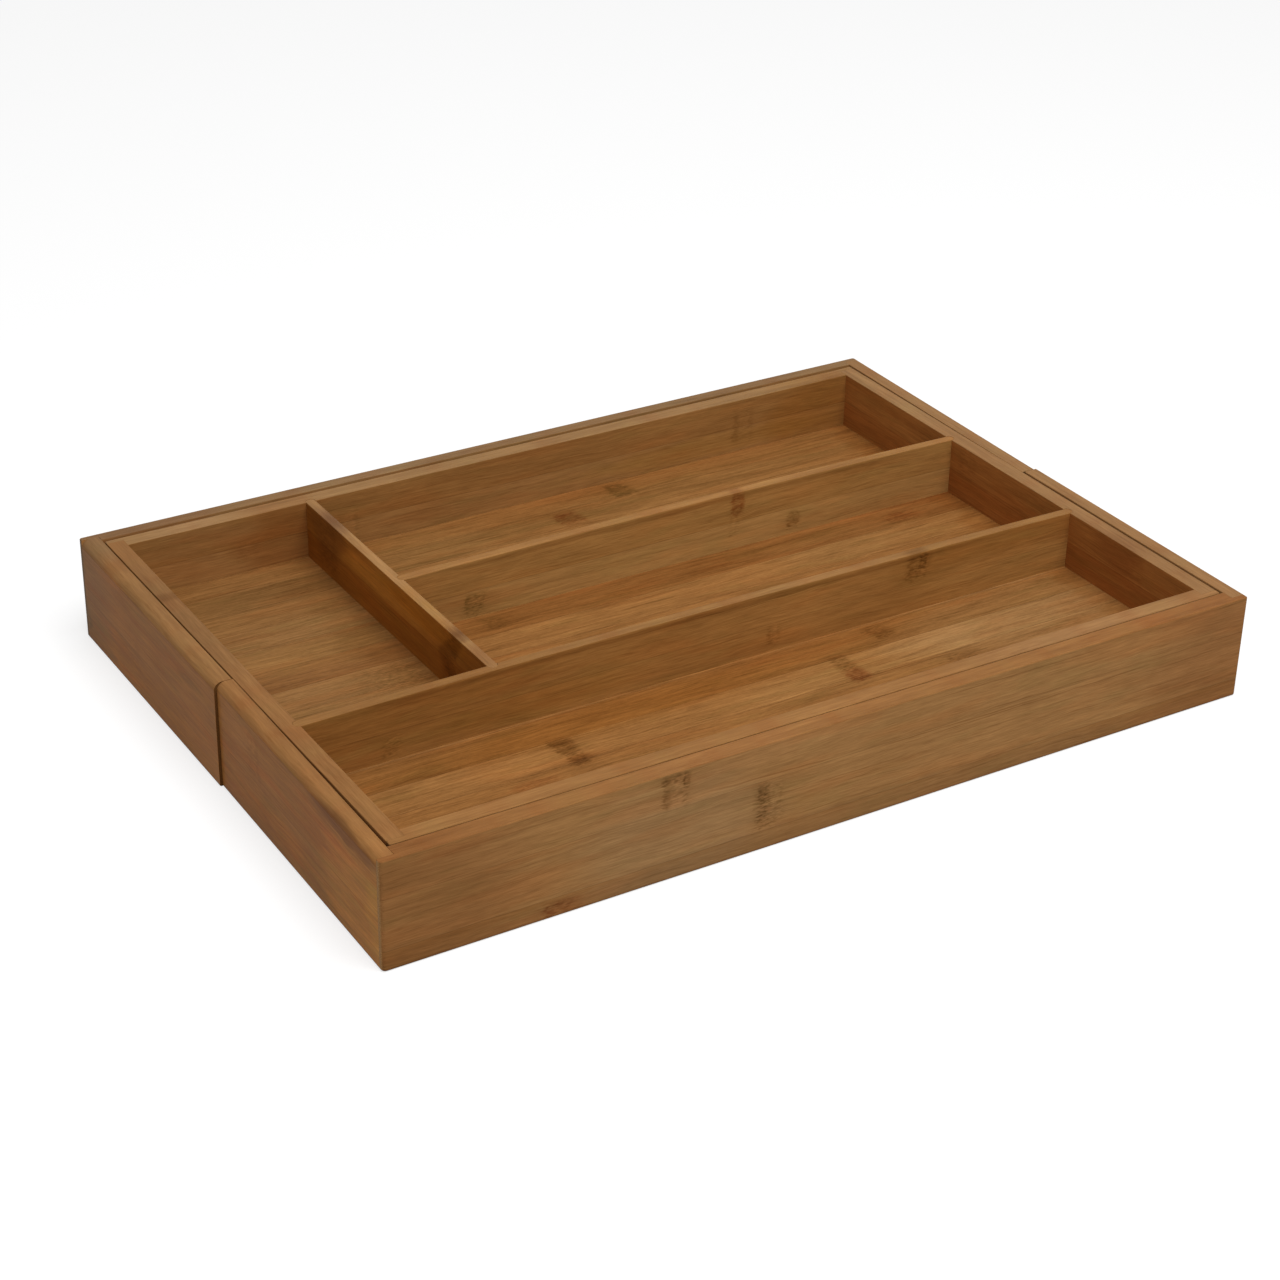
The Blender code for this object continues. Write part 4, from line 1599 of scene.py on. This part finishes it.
TRAY_FINISHES: dict[str, Bamboo] = {
    "front_wall": Bamboo(
        Grain.LONG_UPRIGHT, INSIDE_FACE, TRAY_FRONT_RIM, 17, 20,
        patches=(Patch(160, 56, 170, 16, (1.09, 1.17, 1.36)),),
        seed=3,
    ),
    "back_wall": Bamboo(
        Grain.LONG_UPRIGHT, BACK_FACE, BACK_RIM, -3, 20, (Cane.HONEY, Cane.HONEY, Cane.AMBER),
        scars=(
            NodeScar(141.5, 38, 13, 23, 0.45, Stain.BROWN, 0.9),
            NodeScar(-92, 36, 13, 18, 0.7, Stain.OLIVE, 0.2),
            NodeScar(-146, 35, 14, 12, 0.5, Stain.RED, 0.2),
        ),
        patches=(
            Patch(-126, 33, 46, 44, (0.87, 0.76, 0.66)),
            Patch(-150, 36, 110, 40, (0.96, 0.92, 0.92)),
            Patch(-176, 46, 60, 16, (1.03, 1.07, 1.16)),
            Patch(188, 36, 70, 40, (0.92, 0.82, 0.64)),
            Patch(120, 30, 150, 12, (0.99, 0.98, 0.84)),
        ),
        seed=11,
    ),
    "left_wall": Bamboo(
        Grain.DEEP_UPRIGHT, INSIDE_FACE, LEFT_RIM, 17, 20,
        scars=(NodeScar(84.5, 47, 9, 14, 1, Stain.BROWN, 0.5),),
        patches=(
            Patch(60, 55, 120, 16, (0.90, 0.95, 1.02)),
            Patch(-130, 55, 70, 16, (1.06, 1.07, 1.06)),
        ),
        seed=17,
    ),
    "right_wall": Bamboo(
        Grain.DEEP_UPRIGHT, RIGHT_FACE, PALE_RIM, -3, 20, (Cane.HONEY, Cane.RUSSET, Cane.HONEY),
        scars=(
            NodeScar(-100, 42, 16, 22, 0.4, Stain.RED, 0.2),
            NodeScar(33, 44, 14, 16, 0.5, Stain.DARK, 0.2),
        ),
        patches=(
            Patch(-88, 46, 34, 18, (0.80, 0.72, 0.70)),
            Patch(105, 40, 80, 40, (1.05, 1.10, 1.12)),
        ),
        seed=23,
    ),
    "floor": Bamboo(
        Grain.LONG_FLAT, FLOOR_FACE, FRONT_RIM, -150, 19.7,
        (
            Cane.HONEY, Cane.PALE, Cane.HONEY, Cane.PALE, Cane.AMBER, Cane.HONEY, Cane.PALE, Cane.HONEY,
            Cane.PALE, Cane.RUSSET, Cane.HONEY, Cane.PALE, Cane.HONEY, Cane.HONEY, Cane.HONEY, Cane.HONEY,
        ),
        patches=(
            Patch(165, -76, 150, 64, (1.06, 1.21, 1.48)),
            Patch(60, -85, 120, 24, (1.07, 1.14, 1.20)),
            Patch(-70, -64, 200, 22, (0.99, 0.94, 0.82)),
            Patch(-60, -121, 300, 20, (1.00, 0.95, 0.80)),
            Patch(60, 119, 300, 19, (0.88, 0.93, 0.96)),
            Patch(40, 103, 290, 15, (1.04, 1.11, 1.18)),
            Patch(30, 87, 290, 14, (0.93, 0.89, 0.85)),
            Patch(85, -22, 240, 18, (1.09, 1.09, 1.15)),
            Patch(130, 25, 90, 30, (1.02, 1.09, 1.16)),
            # Painted shade on the right end of the floor, along the right wall
            Patch(206, 0, 24, 420, (0.88, 0.80, 0.70)),
            Patch(-150, 52, 70, 24, (1.10, 1.13, 1.10)),
            Patch(-62, 122, 74, 50, (0.96, 1.02, 1.08)),
            Patch(10, 37, 270, 22, (0.92, 0.93, 0.90)),
            Patch(-165, 50, 120, 240, (0.90, 0.98, 1.10)),
            # Painted shade on the floor along the foot of the cross divider
            Patch(-121, 70, 36, 160, (0.85, 0.82, 0.78)),
            Patch(-165, 116, 110, 22, (0.85, 0.86, 0.86)),
        ),
        contrast=1.35,
        specks=0.42,
        scars=(
            NodeScar(-94.5, -77, 12, 17, 1.1, Stain.BROWN, 0.1, 0, 0.75),
            NodeScar(-93, -89, 12, 13, 1.1, Stain.BROWN, 0.1, 0, 0.75),
            NodeScar(55.5, -76, 10, 16, 1, Stain.BROWN, 0.2, 0, 0.55),
            NodeScar(55.5, -88, 12, 16, 1.1, Stain.RED, 0.1, 0, 0.75),
            NodeScar(88, -59.5, 13, 16, 0.9, Stain.BROWN, 0.3, 0.2, 0.65),
            NodeScar(110, -97.5, 20, 8, 0.8, Stain.BROWN, 0.1, 0, 0.7),
            NodeScar(-120, -98, 24, 9, 0.7, Stain.RED, 0.1, 0, 0.6),
            NodeScar(-59, -101, 14, 6, 0.6, Stain.OLIVE, 0, 0, 0.6),
            NodeScar(58.5, 132, 15, 18, 1.2, Stain.OLIVE, 0.1, 0.1, 0.8),
            NodeScar(19.5, 116.5, 14, 19, 1.1, Stain.RED, 0.2, 0.1, 0.8),
            NodeScar(170, 35, 20, 13, 0.7, Stain.RED, 0.1, 0, 0.7),
            NodeScar(-66, 37, 12, 15, 0.9, Stain.OLIVE, 0.2, 0.1, 0.5),
            NodeScar(-133, 14, 32, 24, 1.3, Stain.OLIVE, 0, 0, 0.05),
        ),
        fibres=(
            DarkFibreAndShadeLine(-104, -20, 117.5, -1, 0.7, 0.35),
            DarkFibreAndShadeLine(-100, -30, 109, 1, 0.7, 0.35),
            DarkFibreAndShadeLine(-60, 30, 74, 1, 0.6, 0.3),
            DarkFibreAndShadeLine(-20, 90, 18, -1, 0.7, 0.3),
            DarkFibreAndShadeLine(20, 110, -92, 1, 0.7, 0.3),
        ),
        seed=5,
    ),
    "front_divider": Bamboo(
        Grain.LONG_UPRIGHT, DIVIDER_FACE, DIVIDER_RIM_AND_HIGHLIGHT, -3, 20, (Cane.AMBER, Cane.HONEY, Cane.HONEY),
        # A line of painted shadow just under the rim, along the face
        fibres=(DarkFibreAndShadeLine(-206, 206, 50.6, 0, 1.8, 0.50),),
        patches=(
            Patch(-150, 46, 130, 26, (0.90, 0.86, 0.80)),
            Patch(-95, 31, 110, 14, (0.93, 0.91, 0.82)),
            Patch(52, 43, 110, 24, (1.10, 1.12, 1.16)),
            Patch(160, 48, 110, 12, (0.95, 0.94, 0.88)),
            Patch(178, 30, 100, 24, (1.15, 1.24, 1.32)),
        ),
        scars=(
            NodeScar(117, 46, 14, 15, 1.2, Stain.BROWN, 0.35, -0.2, 0.3),
            NodeScar(120, 48.5, 5, 8, 1, Stain.BROWN, 0.6, -0.2, 0.4),
            NodeScar(34.5, 31.5, 9, 11, 1, Stain.BROWN, 0.15, -0.1, 0.3),
            NodeScar(-165, 30, 9, 11, 1.2, Stain.OLIVE, 0.1, -0.1, 0.1),
        ),
        seed=29,
    ),
    "middle_divider": Bamboo(
        Grain.LONG_UPRIGHT, MIDDLE_FACE, MIDDLE_RIM, -3, 20, (Cane.AMBER, Cane.HONEY, Cane.AMBER),
        # A line of painted shadow just under the rim, along the face
        fibres=(DarkFibreAndShadeLine(-112, 206, 50.6, 0, 1.8, 0.45),),
        scars=(
            NodeScar(77, 47, 8, 15, 1.1, Stain.RED, 0.4, -0.1, 0.75),
            NodeScar(75, 35, 7, 10, 0.7, Stain.BROWN, 0.1, -0.1, 0.1),
            NodeScar(-72, 30, 12, 14, 1.4, Stain.OLIVE, 0.25, -0.1, 0.4),
            NodeScar(110.5, 31, 8, 11, 1.1, Stain.BROWN, 0.25, -0.1, 0.5),
        ),
        seed=37,
    ),
    "cross_divider": Bamboo(
        Grain.DEEP_UPRIGHT, CROSS_FACE, CROSS_RIM, -2.3, 20, (Cane.RUSSET, Cane.RUSSET, Cane.PALE),
        scars=(
            NodeScar(-9, 40, 12, 40, 0.9, Stain.DARK, 0.2),
            NodeScar(119, 40, 20, 40, 0.7, Stain.DARK, 0.2),
        ),
        patches=(
            Patch(62, 44, 90, 50, (1.10, 1.10, 1.08)),
            Patch(58, 43.5, 120, 10, (1.18, 1.18, 1.14)),
            Patch(16, 48, 80, 10, (1.00, 0.92, 0.70)),
            Patch(-9, 42, 13, 70, (0.68, 0.64, 0.62)),
            Patch(-34, 40, 34, 50, (0.88, 0.80, 0.76)),
            Patch(120, 45, 34, 30, (0.70, 0.66, 0.74)),
        ),
        seed=41,
    ),
    "guide": hidden(47),
}

FRONT_WING_FINISHES: dict[str, Bamboo] = {
    "wall": Bamboo(
        Grain.LONG_UPRIGHT, WING_FACE, FRONT_RIM, -15.5, 25, (Cane.AMBER, Cane.HONEY, Cane.HONEY),
        patches=(
            Patch(-222, 22, 130, 96, (0.80, 0.72, 0.68)),
            Patch(228, 22, 110, 90, (0.89, 0.80, 0.77)),
            Patch(-88, 20, 96, 56, (0.98, 1.06, 1.22)),
            Patch(0, 3, 420, 14, (0.90, 0.93, 1.02)),
            Patch(-60, 49, 120, 12, (1.04, 1.03, 1.06)),
            Patch(165, 47, 90, 14, (1.02, 0.95, 0.90)),
        ),
        scars=(
            NodeScar(-88.4, 43.5, 14, 19, 1, Stain.BROWN, 0.65),
            NodeScar(-82.6, 47.5, 3.5, 9, 0.8, Stain.BROWN, 0.6, 0, 0.35),
            NodeScar(-88.6, 50.6, 13, 5, 0.8, Stain.BROWN, 0, 0, 0.6),
            NodeScar(-41, 22.5, 16, 25, 1, Stain.BROWN, 0.25, 0, 0.1),
            NodeScar(-43.3, 22.5, 6.5, 26, 1, Stain.BROWN, 0.2, 0.03, 0.6),
            NodeScar(-143, 4.5, 18, 9, 1, Stain.RED, 0.4, 0, 0.7),
        ),
        fibres=(
            DarkFibreAndShadeLine(5, 120, 34, 1.5, 0.5, 0.5),
            DarkFibreAndShadeLine(20, 180, 31.5, -0.8, 0.45, 0.45),
            DarkFibreAndShadeLine(70, 175, 35.5, 0.6, 0.4, 0.4),
            DarkFibreAndShadeLine(-60, 40, 26, 1.2, 0.5, 0.35),
            DarkFibreAndShadeLine(-75, -5, 38, 2.5, 0.6, 0.45),
            DarkFibreAndShadeLine(40, 150, 49.5, 0.5, 0.45, 0.4),
            DarkFibreAndShadeLine(-215, -110, 47.5, -0.6, 0.6, 0.35),
            DarkFibreAndShadeLine(110, 215, 20, 0.6, 0.5, 0.35),
            DarkFibreAndShadeLine(-30, 60, 12.5, -0.5, 0.5, 0.3),
            # Painted shade along the foot
            painted_foot_shade(400),
        ),
        seed=53,
        end_tone=1.12,
    ),
    "left_return": Bamboo(
        Grain.DEEP_UPRIGHT, LEFT_FACE, WING_RIM, -3, 26, (Cane.HONEY, Cane.HONEY, Cane.OLIVE),
        scars=(NodeScar(-37, 35, 12, 24, 0.75, Stain.OLIVE, 0.3),),
        # Painted shade along the foot
        fibres=(painted_foot_shade(300),),
        patches=(
            Patch(-150, 20, 90, 58, (1.32, 1.34, 1.18)),
            Patch(-130, 48, 54, 7, (0.64, 0.60, 0.64)),
            Patch(-110, 34, 50, 14, (1.06, 0.98, 0.96)),
            Patch(-60, 12, 70, 14, (1.06, 1.02, 0.90)),
            Patch(-156, 26, 18, 44, (1.06, 1.14, 1.04)),
        ),
        mottle=1.7,
        seed=60,
        end_tone=END_GRAIN_TONE,
    ),
    "right_return": right_return(-72, 66),
    "floor": wing_floor(
        -160,
        (Cane.HONEY, Cane.PALE, Cane.AMBER, Cane.HONEY, Cane.OLIVE, Cane.PALE, Cane.HONEY, Cane.RUSSET),
        (-60, -110), (120, -50), 72,
    ),
    "stop": hidden(76),
}

REAR_WING_FINISHES: dict[str, Bamboo] = {
    "wall": Bamboo(
        Grain.LONG_UPRIGHT, WING_FACE, REAR_RIM, -15.5, 25, (Cane.HONEY, Cane.AMBER, Cane.HONEY),
        patches=(
            Patch(-195, 56, 70, 12, (0.88, 0.83, 0.84)),
            Patch(150, 20, 140, 50, (0.92, 0.90, 0.88)),
            Patch(-60, 34, 120, 40, (1.02, 1.06, 1.12)),
        ),
        mottle=1.1,
        scars=(
            NodeScar(64, 22, 13, 25, 1, Stain.BROWN, 1),
            NodeScar(-132, 44, 12, 18, 0.9, Stain.OLIVE, 0.8),
        ),
        fibres=(
            DarkFibreAndShadeLine(-150, 20, 30, 1, 0.5, 0.45),
            DarkFibreAndShadeLine(-20, 190, 41, -1, 0.5, 0.4),
        ),
        seed=61,
        end_tone=END_GRAIN_TONE,
    ),
    "left_return": Bamboo(
        Grain.DEEP_UPRIGHT, LEFT_FACE, REAR_LEFT_RIM, -3, 26, (Cane.HONEY, Cane.HONEY, Cane.OLIVE),
        scars=(NodeScar(96, 22, 12, 24, 0.35, Stain.BROWN, 0.3),),
        # Painted shade along the foot
        fibres=(painted_foot_shade(300),),
        patches=(
            Patch(158, 26, 64, 90, (0.84, 0.91, 1.08)),
            Patch(95, 5, 160, 26, (0.97, 0.94, 0.80)),
            Patch(70, 45, 90, 16, (0.93, 0.96, 0.98)),
            Patch(159.5, 20, 8, 56, (0.76, 0.84, 0.92)),
        ),
        mottle=1.5,
        seed=68,
        end_tone=END_GRAIN_TONE,
    ),
    "right_return": right_return(60, 74),
    "floor": wing_floor(
        0,
        (Cane.PALE, Cane.HONEY, Cane.RUSSET, Cane.HONEY, Cane.PALE, Cane.AMBER, Cane.OLIVE, Cane.HONEY),
        (70, 110), (-130, 50), 80,
    ),
    "stop": hidden(84),
}


@dataclass(frozen=True)
class Lamp:
    """A soft square light."""

    name: str
    place: Place
    side: float
    watts: float
    colour: Colour = (1.0, 1.0, 1.0)
    target: Place = (0.0, 0.0, 0.03)

    def build(self) -> None:
        """Hangs the lamp, turned to the tray."""
        bpy.ops.object.select_all(action="DESELECT")
        bpy.ops.object.light_add(type="AREA", location=self.place)
        lamp = bpy.context.object
        lamp.name = self.name
        lamp.data.shape = "SQUARE"
        lamp.data.size = self.side
        lamp.data.energy = self.watts
        lamp.data.color = self.colour
        aim = Vector(self.target) - Vector(self.place)
        lamp.rotation_euler = aim.to_track_quat("-Z", "Y").to_euler()


@dataclass
class Studio:
    """The floor, the light and the camera. Places are in metres."""

    camera_place: Place = (-0.61375, -0.97906, 0.65586)
    camera_degrees: Place = (60.9466, -1.0605, -31.2282)
    lens: float = 77.797
    shift: tuple[float, float] = (-0.00306, -0.00107)
    sensor: float = 36.0
    sight: float = 50.0
    floor_side: float = 14.0
    floor_drop: float = 0.0002
    floor_grey: float = 0.55
    shadow_grey: float = 0.4
    floor_glow: float = 0.68
    sky: float = 0.36
    lamps: tuple[Lamp, ...] = (
        Lamp("overhead_softbox", (0.02, -0.76, 1.9), 1.3, 31.5),
    )

    def build(self) -> None:
        """Sets the studio up."""
        self.camera()
        self.floor()
        self.world()
        for lamp in self.lamps:
            lamp.build()
        bpy.context.scene.view_settings.view_transform = "Standard"
        log.info("studio is set up")

    def camera(self) -> None:
        """Puts the camera where the photograph was taken from."""
        bpy.ops.object.camera_add(location=self.camera_place)
        camera = bpy.context.object
        camera.name = "photograph_camera"
        camera.rotation_euler = [math.radians(angle) for angle in self.camera_degrees]
        camera.data.sensor_width = self.sensor
        camera.data.lens = self.lens
        camera.data.shift_x, camera.data.shift_y = self.shift
        camera.data.clip_end = self.sight
        bpy.context.scene.camera = camera

    def floor(self) -> None:
        """A plain pale floor, white to the camera apart from the tray's shadow."""
        bpy.ops.object.select_all(action="DESELECT")
        bpy.ops.mesh.primitive_plane_add(size=self.floor_side, location=(0.0, 0.0, -self.floor_drop))
        floor = bpy.context.object
        floor.name = "studio_floor"
        made = bpy.data.materials.new("studio_floor")
        made.use_nodes = True
        tree = ShaderTree(made.node_tree)
        pale = tree.node("ShaderNodeBsdfDiffuse", inputs={"Color": (self.floor_grey,) * 3})
        shown = tree.node("ShaderNodeBsdfDiffuse", inputs={"Color": (self.shadow_grey,) * 3})
        lift = tree.node("ShaderNodeEmission", inputs={"Strength": self.floor_glow})
        white = tree.node("ShaderNodeAddShader", inputs={0: shown.outputs[0], 1: lift.outputs[0]})
        inputs = {0: tree.seen(), 1: pale.outputs[0], 2: white.outputs[0]}
        both = tree.node("ShaderNodeMixShader", inputs=inputs)
        tree.node("ShaderNodeOutputMaterial", inputs={"Surface": both.outputs[0]})
        floor.data.materials.append(made)

    def world(self) -> None:
        """A plain white surround: bright to the camera and in reflections, dimmer as light."""
        world = bpy.data.worlds.new("studio")
        bpy.context.scene.world = world
        world.use_nodes = True
        tree = ShaderTree(world.node_tree)
        strength = tree.seen() * (1.0 - self.sky) + self.sky
        back = tree.node("ShaderNodeBackground", inputs={"Color": (1.0, 1.0, 1.0), "Strength": strength})
        tree.node("ShaderNodeOutputWorld", inputs={"Surface": back.outputs[0]})


def main() -> None:
    """Builds the studio, the tray and the two wings."""
    logging.basicConfig(level=logging.INFO, format="%(name)s: %(message)s")
    Studio().build()
    MiddleTray("tray", TRAY_FINISHES).build()
    outside = ClosedOutside().build()
    crisp_outside = ClosedOutside(left_round=0.5).build()
    for wing in (
        Wing(
            "front_wing", FRONT_WING_FINISHES, forward=-1,
            wall_board=9.2, left_board=7.8, left_toe_in=1.3, right_toe_in=0.0,
        ),
        Wing(
            "rear_wing", REAR_WING_FINISHES, forward=1,
            wall_board=6.7, left_board=8.7, left_toe_in=0.0, right_toe_in=1.35,
        ),
    ):
        wing.build(outside, crisp_outside)
    bench.scrap(outside)
    bench.scrap(crisp_outside)


if __name__ == "__main__":
    main()
